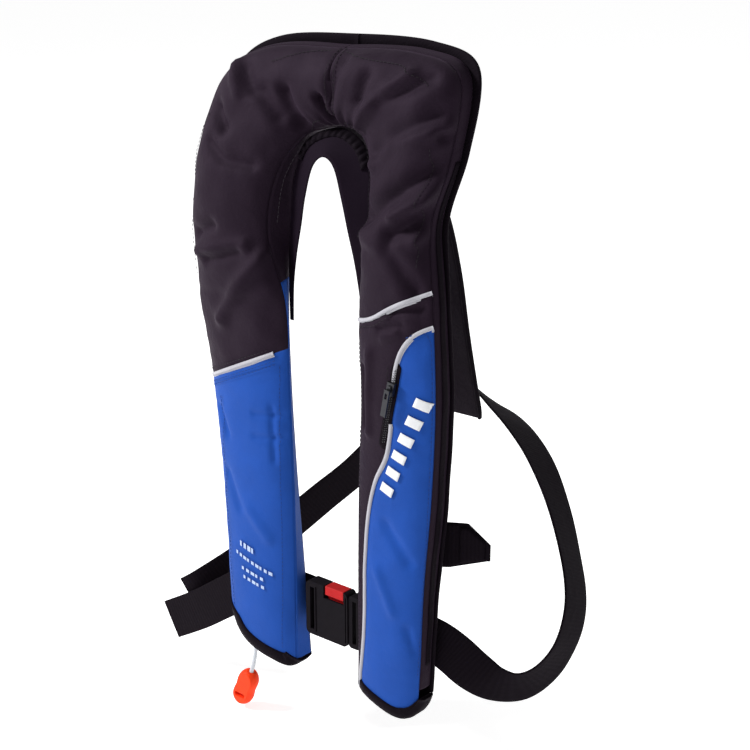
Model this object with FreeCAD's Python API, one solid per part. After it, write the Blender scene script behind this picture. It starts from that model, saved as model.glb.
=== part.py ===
import FreeCAD, Part
import math
import os

# Inflatable life jacket, horseshoe (yoke collar) type, millimetres.
# Origin: lowest point of the neck arch, where the jacket rests on the nape.
# +Z up, -Y to the wearer's front, +X to the wearer's left.

V = FreeCAD.Vector
os.makedirs("parts", exist_ok=True)

# ---------------------------------------------------------------- driving dimensions
FABRIC = 1.6            # laminated cover fabric with its lining
BACK_CLOTH = 1.2        # flat back panel
PIPING = 2.2            # how far the piping stands out of the cover
LOBE_BOTTOM = -492.0    # sections run down to here, then the rounded hems cut them
SEAM_X = 7.0            # centre seam behind the neck
WEB = 40.0              # webbing width
WEB_THICK = 2.0         # webbing thickness
BELT_Z = -414.0         # height of the buckle
BUCKLE_Y = -4.0         # middle of the buckle's thickness

# Cross sections of the horseshoe, from the wearer's right hem over the neck to the left hem:
# inner edge x, z, outer edge x, z, y of the front corners, wall depth, crown, outer flange,
# lean of the inner wall (how far its back corner lies outward of its front corner).
SECTIONS = [
    (-28, LOBE_BOTTOM, -113, LOBE_BOTTOM, -12, 18, 11, 8, -3),
    (-27.5, -430, -119.5, -434, -12, 18, 13.5, 9.5, 2),
    (-27, -360, -124, -366, -12, 18, 13, 11, 8),
    (-28, -280, -128.5, -292, -12, 18, 14, 11.5, 13.5),
    (-30.5, -200, -137.5, -215, -12, 18, 15, 12.5, 15.5),
    (-33.5, -130, -145, -140, -12, 20, 17, 8, 15.5),
    (-55, -70, -150, -72, -10, 22, 20, 8, -8),
    (-50, -20, -151, -8, -2, 24, 23, 8, -5),
    (-34, 11, -131, 60, 13, 24, 25, 8, 0),
    (-16, 20, -84, 89, 21, 22, 25, 8, 0),
    (2, 23, 4, 96, 24, 20, 25, 8, 0),
    (20, 21, 86, 96, 22, 18, 25, 8, 0),
    (34, 12, 135, 79, 18, 16, 24, 8, 0),
    (46, -12, 132.5, 14, 11, 15, 23, 6, 0),
    (49, -60, 120, -42, 0, 16, 19, 4, 0),
    (49.5, -120, 129, -108, -10, 19, 16, 2, 0),
    (53, -200, 134, -185, -12, 20, 14, 2, 0),
    (50, -280, 131, -270, -12, 20, 13, 2, 0),
    (49, -360, 124, -355, -12, 18, 12, 2, 0),
    (49, -430, 121, -430, -12, 16, 11, 2, 0),
    (48, LOBE_BOTTOM, 117, LOBE_BOTTOM, -12, 16, 8, 2, 0),
]
SECTION_STEPS = 2       # ruled strips between two of these sections
CROWN_SHAPE = [(0.10, 0.55), (0.28, 0.93), (0.5, 1.0), (0.72, 0.93), (0.90, 0.55)]

# Inflator group inside the right-hand lobe of the wearer.
CYLINDER_X = -66.0
INFLATOR_Y = -8.0
CYLINDER_RADIUS = 11.5
PIVOT_X = -74.0
PIVOT_Z = -432.0
LEVER_REACH = 15.0
NOSE_REACH = 8.0
LEVER_REST = 20.0       # lever points this far above horizontal at rest, degrees

# Buckle, measured along the belt (X) and across it (Z).
FEMALE_X = (-16.0, 34.0)
BUCKLE_HALF = 26.5
BUCKLE_THICK = 13.0
MALE_X = (34.8, 47.0)


# ---------------------------------------------------------------- helpers
def save(name, shape):
    """Write one node and print what it is made of."""
    if shape.ShapeType == "Compound" and len(shape.Solids) == 1:
        shape = shape.Solids[0]
    shape.exportStep("parts/" + name + ".step")
    ok = shape.isValid() and all(s.Volume > 0 for s in shape.Solids)
    print(name, "solids", len(shape.Solids), "volume", round(shape.Volume), "" if ok else "BAD")


def box(x, y, z):
    """Box between two limits on each axis."""
    return Part.makeBox(x[1] - x[0], y[1] - y[0], z[1] - z[0], V(x[0], y[0], z[0]))


def rod(radius, start, end):
    """Cylinder between two points."""
    a, b = V(*start), V(*end)
    return Part.makeCylinder(radius, (b - a).Length, a, b - a)


def polygon_prism(points, low=-80.0, high=80.0):
    """Extrude a closed outline of (x, z) points along Y."""
    wire = Part.makePolygon([V(x, low, z) for x, z in points + points[:1]])
    return Part.Face(wire).extrude(V(0, high - low, 0))


def curve_prism(fixed, curve, low=-80.0, high=80.0):
    """Extrude an outline made of straight fixed points closed by a smooth curve."""
    spline = Part.BSplineCurve()
    spline.interpolate([V(x, low, z) for x, z in curve])
    corners = [curve[-1]] + fixed + [curve[0]]
    lines = Part.makePolygon([V(x, low, z) for x, z in corners])
    wire = Part.Wire([spline.toShape()] + lines.Edges)
    return Part.Face(wire).extrude(V(0, high - low, 0))


def refined(rows, steps):
    """Rows of numbers with points of a Catmull-Rom curve added between them."""
    out = []
    for i in range(len(rows) - 1):
        before, after = rows[max(i - 1, 0)], rows[min(i + 2, len(rows) - 1)]
        for k in range(steps):
            t = k / steps
            out.append(tuple(
                0.5 * (2 * b + (c - a) * t + (2 * a - 5 * b + 4 * c - d) * t * t
                       + (3 * b - a - 3 * c + d) * t ** 3)
                for a, b, c, d in zip(before, rows[i], rows[i + 1], after)))
    return out + [tuple(rows[-1])]


def loft(sections):
    """Closed solid ruled from section to section; a section is a closed list of edges."""
    faces = []
    for one, two in zip(sections, sections[1:]):
        faces += [Part.makeRuledSurface(a, b) for a, b in zip(one, two)]
    for end in (sections[0], sections[-1]):
        faces.append(Part.Face(Part.Wire(Part.__sortEdges__(end))))
    shell = Part.makeShell(faces)
    shell.sewShape()
    solid = Part.makeSolid(shell)
    if solid.Volume < 0:
        solid.reverse()
    return solid


def quad(a, b, c, d):
    """Closed list of four straight edges."""
    corners = [a, b, c, d, a]
    return [Part.makeLine(p, q) for p, q in zip(corners, corners[1:])]


def ribbon(stations, width=WEB, thick=WEB_THICK, steps=3):
    """Webbing through stations of (x, y, z, direction of its width)."""
    rows = refined([s[:3] + s[3] for s in stations], steps)
    stations = [row[:3] + (row[3:],) for row in rows]
    points = [V(*s[:3]) for s in stations]
    rings = []
    for i, station in enumerate(stations):
        run = points[min(i + 1, len(points) - 1)] - points[max(i - 1, 0)]
        run.normalize()
        across = V(*station[3])
        across = across - run * across.dot(run)
        across.normalize()
        normal = run.cross(across)
        side, face = across * (width / 2), normal * (thick / 2)
        p = points[i]
        rings.append(quad(p - side - face, p + side - face, p + side + face, p - side + face))
    return loft(rings)


def frame(section, grow=0.0):
    """Corner points of one section: inner front, outer front, outer back, inner back."""
    xi, zi, xo, zo, y, depth, crown, flange, lean = section
    inner, outer = V(xi, 0, zi), V(xo, 0, zo)
    along = (outer - inner).normalize()
    outer = outer - along * flange + along * grow
    inner = inner - along * grow
    front, back = V(0, y, 0), V(0, y + depth, 0)
    return inner + front, outer + front, outer + back, inner + along * lean + back, along, crown


def crown_edge(a, b, crown, shift):
    """Front curve of a section from a to b, bulging towards -Y, moved by shift along Y."""
    middle = [a + (b - a) * u + V(0, -crown * h, 0) for u, h in CROWN_SHAPE]
    spline = Part.BSplineCurve()
    spline.interpolate([p + V(0, shift, 0) for p in [a] + middle + [b]])
    return spline.toShape()


def front_loft(sections, outside=0.0, inside=FABRIC):
    """Crowned front cloth of the horseshoe between two offsets from its outer face."""
    rings = []
    for section in sections:
        a, b, _, _, _, crown = frame(section, outside / 2)
        out, inn = V(0, -outside, 0), V(0, inside, 0)
        rings.append([crown_edge(a, b, crown, -outside), Part.makeLine(b + out, b + inn),
                      crown_edge(a, b, crown, inside), Part.makeLine(a + inn, a + out)])
    return loft(rings)


def body_loft(sections, inset, front_gap, back_gap):
    """Closed body that fills the cover, smaller by the given gaps."""
    rings = []
    for section in sections:
        a, b, c, d, along, crown = frame(section)
        a, b, c, d = a + along * inset, b - along * inset, c - along * inset, d + along * inset
        down, up = V(0, front_gap, 0), V(0, -back_gap, 0)
        rings.append([crown_edge(a, b, crown, front_gap), Part.makeLine(b + down, c + up),
                      Part.makeLine(c + up, d + up), Part.makeLine(d + up, a + down)])
    return loft(rings)


def inner_wall(sections):
    """Side wall of the cover along the inner edge."""
    rings = []
    for section in sections:
        a, _, _, d, along, _ = frame(section)
        step, skin = along * FABRIC, V(0, FABRIC, 0)
        rings.append(quad(a + skin, a + skin + step, d + step, d))
    return loft(rings)


def outer_wall(sections, near=0.0, far=1.0, skin=FABRIC, stand=0.0):
    """Side wall along the outer edge, or a strip of it standing out by stand."""
    rings = []
    for section in sections:
        _, b, c, _, along, _ = frame(section)
        top = b + V(0, FABRIC if near == 0.0 else 0, 0) + (c - b) * near
        low = b + (c - b) * far
        rings.append(quad(top - along * skin, top + along * stand,
                          low + along * stand, low - along * skin))
    return loft(rings)


def back_cloth(sections):
    """Flat cloth behind the cover."""
    rings = []
    for section in sections:
        _, _, c, d, _, _ = frame(section)
        skin = V(0, BACK_CLOTH, 0)
        rings.append(quad(d, c, c + skin, d + skin))
    return loft(rings)


def edge_binding(sections):
    """Tape that closes the outer edge and stands out of it as a flat rim."""
    rings = []
    for section in sections:
        _, _, c, _, along, _ = frame(section)
        rim = section[7] + 1.0
        near, far = c, c + along * rim
        thick = V(0, -3.0, 0)
        rings.append(quad(near, far, far + thick, near + thick))
    return loft(rings)


# ---------------------------------------------------------------- cover
ROWS = refined(SECTIONS, SECTION_STEPS)
LEFT_STRIP = ROWS[2:15]
RIGHT_STRIP = ROWS[26:39]
front = front_loft(ROWS)
piping_band = front_loft(ROWS, PIPING, 0.0)
full_body = body_loft(ROWS, 0.0, 0.0, 0.0)

# What lies below the rounded hems is cut away.
RIGHT_HEM = [(128, -420), (125, -442), (121, -460), (115.5, -474), (107, -482),
             (96, -483.5), (82, -480.5), (64, -475), (30, -464)]
LEFT_HEM = [(-121, -415), (-112, -434), (-101, -449), (-88, -462), (-72, -470),
            (-49, -476), (-34, -479), (-27, -475), (-18, -464)]
below_right = curve_prism([(30, -560), (180, -560), (180, -420)], RIGHT_HEM)
below_left = curve_prism([(-18, -560), (-180, -560), (-180, -415)], LEFT_HEM)
hem_cut = below_right.fuse(below_left)


def hem_cap(below, dx):
    """Bound hem that closes the bottom of one lobe."""
    rise = below.copy()
    rise.translate(V(dx, 0, 6))
    return full_body.common(rise).cut(below)


hem_right = hem_cap(below_right, -4)
hem_left = hem_cap(below_left, 4)
hems = hem_right.fuse(hem_left)


def trimmed(shape):
    """Shape without what the hems take away."""
    return shape.cut(hem_cut).cut(hems)


front = trimmed(front)
piping_band = piping_band.cut(hem_cut)

# Colour seams, as outlines in the XZ plane.
LEFT_SEAM = [(-160, -229), (0, -156)]
RIGHT_SEAM = [(40, -130), (60, -126), (76, -120), (97, -107), (118, -97), (145, -85)]
PANEL_EDGE = [(150, -117), (138, -118), (118, -127), (106, -142), (100, -162), (97, -190),
              (96, -215), (91, -238), (78, -264), (69, -300), (65, -340), (63, -400),
              (60, -430), (55, -460), (53, -500)]

lower_left = polygon_prism([LEFT_SEAM[0], LEFT_SEAM[1], (0, -560), (-160, -560)])
lower_right = curve_prism([(145, -560), (40, -560)], RIGHT_SEAM)
blue_right = curve_prism([(150, -500)], PANEL_EDGE)
left_half = box((-200, SEAM_X), (-80, 90), (-560, 160))

front_left = front.common(left_half)
front_right = front.cut(left_half)
save("cover_front_upper_left", front_left.cut(lower_left))
save("cover_front_blue_left", front_left.common(lower_left))
save("cover_front_upper_right", front_right.cut(lower_right))
front_low = front_right.common(lower_right)


def seam_strip(outline_low, shift):
    """Piping along a seam: the part of the raised band between two shifts of an outline."""
    raised = outline_low.copy()
    raised.translate(V(shift[0], 0, shift[1]))
    return raised.cut(outline_low)


def without_ends(shape, x):
    """Keep the piping between two x limits."""
    return shape.common(box(x, (-80, 40), (-560, 160)))


piping_left = piping_band.common(seam_strip(lower_left, (0, 4.2)))
piping_right = piping_band.common(seam_strip(lower_right, (0, 4.0)))
panel_rim = piping_band.common(seam_strip(blue_right, (-3.6, 1.4)))
save("piping_lobe_left", without_ends(piping_left, (-131, -38)))
save("piping_lobe_right", without_ends(piping_right, (52, 138)))
# Pocket zip beside the blue panel: tape, slider and puller.
ZIP_TOP = V(102, 0, -158)
ZIP_LOW = V(89, 0, -226)
ZIP_FACE = -27.0        # front face of the zip's tape
zip_run = (ZIP_LOW - ZIP_TOP).normalize()
zip_side = V(0, 1, 0).cross(zip_run)


def zip_block(start, length, half_width, near, far):
    """Block along the zip from start, between two Y limits."""
    base = ZIP_TOP + zip_run * start
    corners = [base - zip_side * half_width, base + zip_side * half_width,
               base + zip_side * half_width + zip_run * length,
               base - zip_side * half_width + zip_run * length]
    wire = Part.makePolygon([p + V(0, near, 0) for p in corners + corners[:1]])
    return Part.Face(wire).extrude(V(0, far - near, 0))


zip_length = (ZIP_LOW - ZIP_TOP).Length
zip_tape = zip_block(0, zip_length, 4.5, ZIP_FACE, ZIP_FACE + 1.4)
zip_room = zip_block(-2, zip_length + 4, 6.5, ZIP_FACE - 20, ZIP_FACE + 1.4)
slider_body = zip_block(12, 11, 3.6, ZIP_FACE - 3.4, ZIP_FACE - 0.3)
slider_nose = zip_block(14.5, 6, 1.4, ZIP_FACE - 5.0, ZIP_FACE - 3.4)
slider = slider_body.fuse(slider_nose).removeSplitter()
PULL_Y = ZIP_FACE - 6.4
puller = zip_block(17.5, 24, 2.6, PULL_Y - 0.8, PULL_Y + 0.8)
puller = puller.cut(zip_block(20.5, 5, 1.2, PULL_Y - 2, PULL_Y + 2))
front_low = front_low.cut(zip_room)
panel_rim = panel_rim.cut(zip_room)
above_zip = box((50, 132), (-80, 40), (-180, 0))
below_zip = box((0, 200), (-80, 40), (-560, -200))
save("piping_panel_top", panel_rim.common(above_zip))
save("piping_panel_side", panel_rim.common(below_zip).cut(hem_right))
save("cover_front_black_right", front_low.cut(blue_right))
save("cover_front_blue_right", front_low.common(blue_right))
save("pocket_zip_tape", zip_tape)
save("zip_slider", slider)
save("zip_puller", puller)

GUSSET_Z = -112.0
side = trimmed(inner_wall(ROWS))
blue_side = box((-80, -5), (-80, 60), (-560, GUSSET_Z))
side_left = side.common(left_half)
save("gusset_inner_blue_left", side_left.common(blue_side))
save("gusset_inner_black_left", side_left.cut(blue_side))
save("gusset_inner_right", side.cut(left_half))

outside = trimmed(outer_wall(ROWS))
save("gusset_outer_left", outside.common(left_half))
save("gusset_outer_right", outside.cut(left_half))

back = back_cloth(ROWS).cut(hem_cut)
save("back_panel_left", back.common(left_half))
save("back_panel_right", back.cut(left_half))

rim = edge_binding(ROWS).cut(hem_cut).cut(hems)
save("edge_binding_left", rim.common(left_half))
save("edge_binding_right", rim.cut(left_half))

save("burst_zip_right", outer_wall(RIGHT_STRIP, 0.3, 0.62, 0.0, 1.4))
save("burst_zip_left", outer_wall(LEFT_STRIP, 0.3, 0.62, 0.0, 1.4))

# ---------------------------------------------------------------- neck lining
NECK_ARCH = [
    (-40, 4, -150, -44.4, 5, -150), (-38, 3, -117, -45.8, 6, -117),
    (-33, 2, -88, -47, 8, -86), (-26.5, 1, -62, -46, 10, -52),
    (-20.5, 0, -36, -43.5, 12, -22), (-12, 0, -10, -32, 18, 9),
    (0, 0, 0, 2, 23, 21.5), (12, 0, -8, 33, 18, 10),
    (20.5, 0, -34, 45.5, 12, -16), (26.5, 1, -60, 48.6, 9, -54),
    (33, 2, -86, 49.6, 6, -90), (38, 3, -115, 49.6, 4, -118), (42, 4, -150, 49.2, 3, -150),
]


def arch_band(stations, near, far, thick, lift):
    """Curved band between two shares of the way from the arch's rim to the cover."""
    rings = []
    for ax, ay, az, bx, by, bz in stations:
        a, b = V(ax, ay, az), V(bx, by, bz)
        p, q = a + (b - a) * near, a + (b - a) * far
        face = V(0, thick, 0)
        rise = V(0, lift, 0)
        rings.append(quad(p + rise, q + rise, q + rise + face, p + rise + face))
    return loft(rings)


NECK_ARCH = refined(NECK_ARCH, 2)
save("neck_lining", arch_band(NECK_ARCH, 0.0, 0.94, 1.2, 0.0))
save("neck_gather", arch_band(NECK_ARCH[9:16], 0.62, 0.94, 1.6, -1.7))

# ---------------------------------------------------------------- hems with the cord slot
CORD_X = -84.0
cord_slot = box((CORD_X - 9, CORD_X + 6), (INFLATOR_Y - 5, INFLATOR_Y + 5), (-520, -440))
save("hem_left", hem_left.cut(cord_slot))
save("hem_right", hem_right)

# ---------------------------------------------------------------- bladder
bladder = body_loft(ROWS[2:-2], FABRIC + 1.8, FABRIC + 1.4, 1.0)
bladder = bladder.cut(hem_cut).cut(hems)
bladder = bladder.cut(box((-130, -24), (-60, 3.8), (-520, -284)))
bladder = bladder.cut(box((80, 112), (-60, 1.0), (-346, -212)))
bladder = bladder.cut(box((84, 114), (-60, 1.0), (-430, -362)))
bladder = bladder.cut(zip_room)
save("bladder", bladder)

# ---------------------------------------------------------------- inflator
head = box((-84, -46), (-17.5, 0.5), (-452, -414))
head = head.fuse(rod(10, (CYLINDER_X, INFLATOR_Y, -414), (CYLINDER_X, INFLATOR_Y, -403)))
lever_slot = box((-90, -59), (-11.2, -4.8), (-447, -421))
pin_bore = rod(1.6, (CYLINDER_X, INFLATOR_Y, -425), (CYLINDER_X, INFLATOR_Y, -400))
neck_socket = rod(6.5, (CYLINDER_X, INFLATOR_Y, -413), (CYLINDER_X, INFLATOR_Y, -400))
pivot_bore = rod(1.5, (PIVOT_X, -20, PIVOT_Z), (PIVOT_X, 5, PIVOT_Z))
STEM_X = -53.0
stem_bore = rod(4.5, (STEM_X, -30, -440), (STEM_X, 5, -440))
head = head.cut(lever_slot).cut(pin_bore).cut(neck_socket).cut(pivot_bore).cut(stem_bore)
save("inflator_head", head)
save("lever_pivot_pin", rod(1.5, (PIVOT_X, -17.5, PIVOT_Z), (PIVOT_X, 0.5, PIVOT_Z)))

stem = rod(4.5, (STEM_X, -20.5, -440), (STEM_X, 0.5, -440))
stem = stem.fuse(rod(9, (STEM_X, 0.5, -440), (STEM_X, 2.2, -440)))
save("valve_manifold", stem)
nut_points = [(STEM_X + 7.5 * math.cos(math.radians(60 * i)),
               -440 + 7.5 * math.sin(math.radians(60 * i))) for i in range(6)]
stem_hole = rod(4.5, (STEM_X, -30, -440), (STEM_X, 5, -440))
save("manifold_nut", polygon_prism(nut_points, -21.2, -18.3).cut(stem_hole))
save("manifold_gasket", rod(7, (STEM_X, -18.3, -440), (STEM_X, -17.5, -440)).cut(stem_hole))

bottle_neck = rod(6.5, (CYLINDER_X, INFLATOR_Y, -413), (CYLINDER_X, INFLATOR_Y, -398))
bottle_body = rod(CYLINDER_RADIUS, (CYLINDER_X, INFLATOR_Y, -398), (CYLINDER_X, INFLATOR_Y, -292))
bottle_body = bottle_body.makeFillet(5.0, [bottle_body.Edges[0], bottle_body.Edges[2]])
seal_bore = rod(2.4, (CYLINDER_X, INFLATOR_Y, -413), (CYLINDER_X, INFLATOR_Y, -402))
save("gas_cylinder", bottle_neck.fuse(bottle_body).cut(seal_bore))

cap = rod(9, (-66, INFLATOR_Y, -461), (-66, INFLATOR_Y, -452))
cap = cap.makeFillet(2.0, [e for e in cap.Edges if abs(e.CenterOfMass.z + 461) < 0.1][:1])
save("sensor_cap", cap)


def polar(reach, degrees):
    """Point at a reach and angle from the lever's pivot, in the XZ plane."""
    a = math.radians(degrees)
    return (PIVOT_X + reach * math.cos(a), INFLATOR_Y, PIVOT_Z + reach * math.sin(a))


def lever_link(reach, degrees, radius, half):
    """Rounded link from the pivot to a point, half as thick each side of the middle."""
    tip = V(*polar(reach, degrees))
    pivot = V(PIVOT_X, INFLATOR_Y, PIVOT_Z)
    along = (tip - pivot).normalize()
    across = along.cross(V(0, 1, 0)) * radius
    low, deep = V(0, -half, 0), V(0, 2 * half, 0)
    bar = Part.Face(Part.Wire(quad(pivot - across + low, tip - across + low,
                                   tip + across + low, pivot + across + low))).extrude(deep)
    end = Part.makeCylinder(radius, 2 * half, tip + low, V(0, 1, 0))
    return bar.fuse(end)


hub = Part.makeCylinder(4.2, 5.6, V(PIVOT_X, INFLATOR_Y - 2.8, PIVOT_Z), V(0, 1, 0))
lever = hub.fuse(lever_link(LEVER_REACH, 180 - LEVER_REST, 2.8, 2.8))
lever = lever.fuse(lever_link(NOSE_REACH, -LEVER_REST, 1.8, 2.4))
lever = lever.cut(rod(1.56, (PIVOT_X, -20, PIVOT_Z), (PIVOT_X, 5, PIVOT_Z)))
tip = polar(LEVER_REACH, 180 - LEVER_REST)
lever = lever.cut(rod(1.2, (tip[0], -20, tip[2]), (tip[0], 5, tip[2])))
save("firing_lever", lever)

nose = polar(NOSE_REACH, -LEVER_REST)
PIN_LOW = nose[2] + 1.8 + 0.5
save("firing_pin", rod(1.3, (CYLINDER_X, INFLATOR_Y, PIN_LOW), (CYLINDER_X, INFLATOR_Y, PIN_LOW + 15)))

# ---------------------------------------------------------------- pull cord and toggle
CORD_DIAMETER = 4.0
CORD_ROUTE = [
    (tip[0], INFLATOR_Y, tip[2] - 3.8),
    (-87.2, INFLATOR_Y, -452.0),
    (-84.0, INFLATOR_Y, -473.0),
    (-85.6, INFLATOR_Y, -492.0),
    (-91.5, INFLATOR_Y, -509.5),
]


def cord_tube(route, diameter):
    """Tube of straight runs joined by tangent arcs."""
    points = [V(*p) for p in route]
    edges = []
    start = points[0]
    for before, corner, after in zip(points, points[1:], points[2:]):
        run_in = (corner - before)
        run_out = (after - corner)
        turn = run_in.getAngle(run_out)
        shorter = min(run_in.Length, run_out.Length)
        cut = 0.45 * shorter
        radius = cut / math.tan(turn / 2)
        print("cord arc radius", round(radius, 1), "mm")
        a = corner - run_in.normalize() * cut
        b = corner + run_out.normalize() * cut
        bisector = (run_out - run_in).normalize()
        middle = corner + bisector * (radius / math.cos(turn / 2) - radius)
        edges.append(Part.LineSegment(start, a).toShape())
        edges.append(Part.Arc(a, middle, b).toShape())
        start = b
    edges.append(Part.LineSegment(start, points[-1]).toShape())
    path = Part.Wire(edges)
    direction = (points[1] - points[0])
    ring = Part.Wire([Part.makeCircle(diameter / 2, points[0], direction)])
    tube = path.makePipeShell([ring], True, False)
    area = math.pi * diameter ** 2 / 4
    print("cord length", round(path.Length, 1), "volume ratio", round(tube.Volume / area / path.Length, 4))
    return tube


save("pull_cord", cord_tube(CORD_ROUTE, CORD_DIAMETER))

TOGGLE_TILT = 23.0
TOGGLE_LENGTH = 40.0
TOGGLE_THICK = 12.4
toggle_top = V(*CORD_ROUTE[-1])
toggle_profile = [(4.5, 0), (8.6, 4.5), (10.4, 11), (10.0, 20), (10.6, 28), (9.6, 34),
                  (6.0, 38.6), (0, TOGGLE_LENGTH)]
curve = Part.BSplineCurve()
curve.interpolate([V(r, 0, -h) for r, h in toggle_profile])
axis_line = Part.makePolygon([V(0, 0, -TOGGLE_LENGTH), V(0, 0, 0), V(toggle_profile[0][0], 0, 0)])
profile = Part.Face(Part.Wire([curve.toShape()] + axis_line.Edges))
toggle = profile.revolve(V(0, 0, 0), V(0, 0, 1), 360)
toggle = toggle.common(box((-20, 20), (-TOGGLE_THICK / 2, TOGGLE_THICK / 2), (-60, 10)))
slot_low, slot_high = (-4.0, -30.5), (4.0, -27.5)
opening = rod(2.3, (slot_low[0], -12, slot_low[1]), (slot_low[0], 12, slot_low[1]))
opening = opening.fuse(rod(2.3, (slot_high[0], -12, slot_high[1]), (slot_high[0], 12, slot_high[1])))
slot_bar = box((-4.2, 4.2), (-12, 12), (-2.3, 2.3))
slot_bar.rotate(V(0, 0, 0), V(0, 1, 0), -20.6)
slot_bar.translate(V(0, 0, -29))
toggle = toggle.cut(opening.fuse(slot_bar))
toggle.rotate(V(0, 0, 0), V(0, 1, 0), TOGGLE_TILT)
toggle.translate(toggle_top)
save("pull_toggle", toggle)

# ---------------------------------------------------------------- oral tube and whistle
ORAL_X, ORAL_Y = 95.0, -8.0
tube = rod(6.0, (ORAL_X, ORAL_Y, -340), (ORAL_X, ORAL_Y, -240))
tube = tube.cut(rod(4.0, (ORAL_X, ORAL_Y, -341), (ORAL_X, ORAL_Y, -239)))
save("oral_tube", tube)
mouth = rod(8.0, (ORAL_X, ORAL_Y, -240), (ORAL_X, ORAL_Y, -220))
mouth = mouth.cut(rod(4.8, (ORAL_X, ORAL_Y, -241), (ORAL_X, ORAL_Y, -219)))
save("oral_valve_body", mouth)
poppet = rod(1.6, (ORAL_X, ORAL_Y, -247), (ORAL_X, ORAL_Y, -219))
poppet = poppet.fuse(rod(3.9, (ORAL_X, ORAL_Y, -235), (ORAL_X, ORAL_Y, -232)))
save("oral_valve_poppet", poppet)

whistle = box((92, 106), (-12, -3), (-420, -376))
whistle = whistle.makeFillet(2.5, [e for e in whistle.Edges if abs(e.tangentAt(0).z) > 0.9])
whistle = whistle.cut(box((95, 103), (-9.5, -5.5), (-430, -392)))
whistle = whistle.cut(box((90, 108), (-14, -7), (-398, -394)))
save("whistle", whistle)
save("whistle_keeper", box((90, 108), (-14.2, -12), (-388, -378)).fuse(
    box((90, 91.6), (-12, 1.0), (-388, -378))).fuse(box((106.4, 108), (-12, 1.0), (-388, -378))))

# ---------------------------------------------------------------- buckle
NEAR = BUCKLE_Y - BUCKLE_THICK / 2
FAR = BUCKLE_Y + BUCKLE_THICK / 2
LOW_TAB_Y = -6.6        # the lower press tab is covered in front and starts here


def belt_box(x, y, z):
    """Box with its Z limits measured from the belt's middle line."""
    return box(x, y, (BELT_Z + z[0], BELT_Z + z[1]))


female = belt_box(FEMALE_X, (NEAR, FAR), (-BUCKLE_HALF, BUCKLE_HALF))
corner_edges = [e for e in female.Edges if abs(e.tangentAt(0).y) > 0.9]
female = female.makeFillet(5.0, corner_edges)
female = female.cut(belt_box((2, 40), (NEAR + 2.2, FAR - 2.2), (-19.5, 19.5)))
female = female.cut(belt_box((-11, -6), (NEAR - 1, FAR + 1), (-21, 21)))
female = female.cut(belt_box((5.5, 29.5), (NEAR - 1, FAR + 1), (14.4, 30)))
female = female.cut(belt_box((5.5, 29.5), (LOW_TAB_Y - 0.3, FAR + 1), (-30, -14.4)))
for groove in ((-4.5, -2.5), (31.2, 32.4)):
    female = female.cut(belt_box(groove, (NEAR - 1, NEAR + 0.9), (-BUCKLE_HALF + 4, BUCKLE_HALF - 4)))
save("buckle_female", female)

male = belt_box(MALE_X, (NEAR + 1.0, FAR - 1.0), (-BUCKLE_HALF + 1, BUCKLE_HALF - 1))
male = male.makeFillet(3.0, [e for e in male.Edges if abs(e.tangentAt(0).y) > 0.9])
male = male.fuse(belt_box((12, 36), (BUCKLE_Y - 2.5, BUCKLE_Y + 2.5), (-4, 4)))
male = male.cut(belt_box((39, 43.5), (NEAR - 1, FAR + 1), (-21, 21)))
save("buckle_male", male)


def latch(side, tab_front):
    """One sprung arm of the buckle with the red press tab on its end."""
    def span(a, b):
        return (min(side * a, side * b), max(side * a, side * b))
    arm = belt_box((9, 34.2), (BUCKLE_Y - 2.6, BUCKLE_Y + 2.6), span(10, 14))
    web = belt_box((8.2, 26), (BUCKLE_Y - 2.6, BUCKLE_Y + 2.6), span(10, 20))
    tab = belt_box((7.6, 28.8), (tab_front, FAR - 0.2), span(17.8, BUCKLE_HALF + 0.4))
    tab = tab.makeFillet(1.2, [e for e in tab.Edges if abs(e.tangentAt(0).x) > 0.9])
    return arm.fuse(web).fuse(tab).removeSplitter()


save("latch_top", latch(1, NEAR + 0.2))
save("latch_bottom", latch(-1, LOW_TAB_Y))

# ---------------------------------------------------------------- webbing
UP = (0, 0, 1)
belt_right = ribbon([
    (41.3, -6.0, BELT_Z, UP), (41.5, -1.0, BELT_Z, UP), (45.0, 4.6, BELT_Z, UP),
    (53.0, 8.6, BELT_Z, UP), (70.0, 9.6, -412.5, UP), (95.0, 9.6, -410.5, UP),
    (116, 12, -414, (0.25, 0.25, 0.92)), (131, 18, -423.5, (0.4, 0.35, 0.85)),
    (147, 28, -440, (0.45, 0.3, 0.83)), (163, 38, -451, (0.35, -0.05, 0.93)),
    (181, 50, -452.5, (0.05, -0.5, 0.86)), (198, 62, -439, (-0.05, -0.8, 0.58)),
    (210, 73, -414, (0.02, -0.9, 0.43)), (211.5, 85, -388.5, (0.02, -0.88, 0.48)),
    (204, 97, -365, (0, -0.86, 0.5)), (186, 112, -339, (-0.04, -0.85, 0.52)),
    (159, 132, -310, (-0.16, -0.84, 0.52)), (126, 155, -287, (-0.28, -0.84, 0.46)),
    (88, 178, -273, (-0.34, -0.84, 0.42)), (49, 201, -266, (-0.33, -0.82, 0.46)),
    (12, 217, -261, (-0.2, -0.72, 0.66)),
])
save("belt_right", belt_right)

belt_back_left = ribbon([
    (-12, 217, -261, (0.1, -0.56, 0.82)), (-42, 200, -280, (0.05, -0.6, 0.8)),
    (-70, 174, -315, (0, -0.62, 0.79)), (-94, 149, -350, (-0.05, -0.62, 0.79)),
    (-113, 122, -374, (-0.08, -0.6, 0.8)), (-131, 96, -398, (-0.12, -0.58, 0.8)),
    (-150, 68, -422, (-0.2, -0.52, 0.82)), (-168, 41, -443, (-0.36, -0.42, 0.81)),
    (-183, 19, -459, (-0.5, -0.25, 0.82)), (-196, 12.4, -469, (-0.58, -0.1, 0.8)),
])
save("belt_back_left", belt_back_left)

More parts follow.
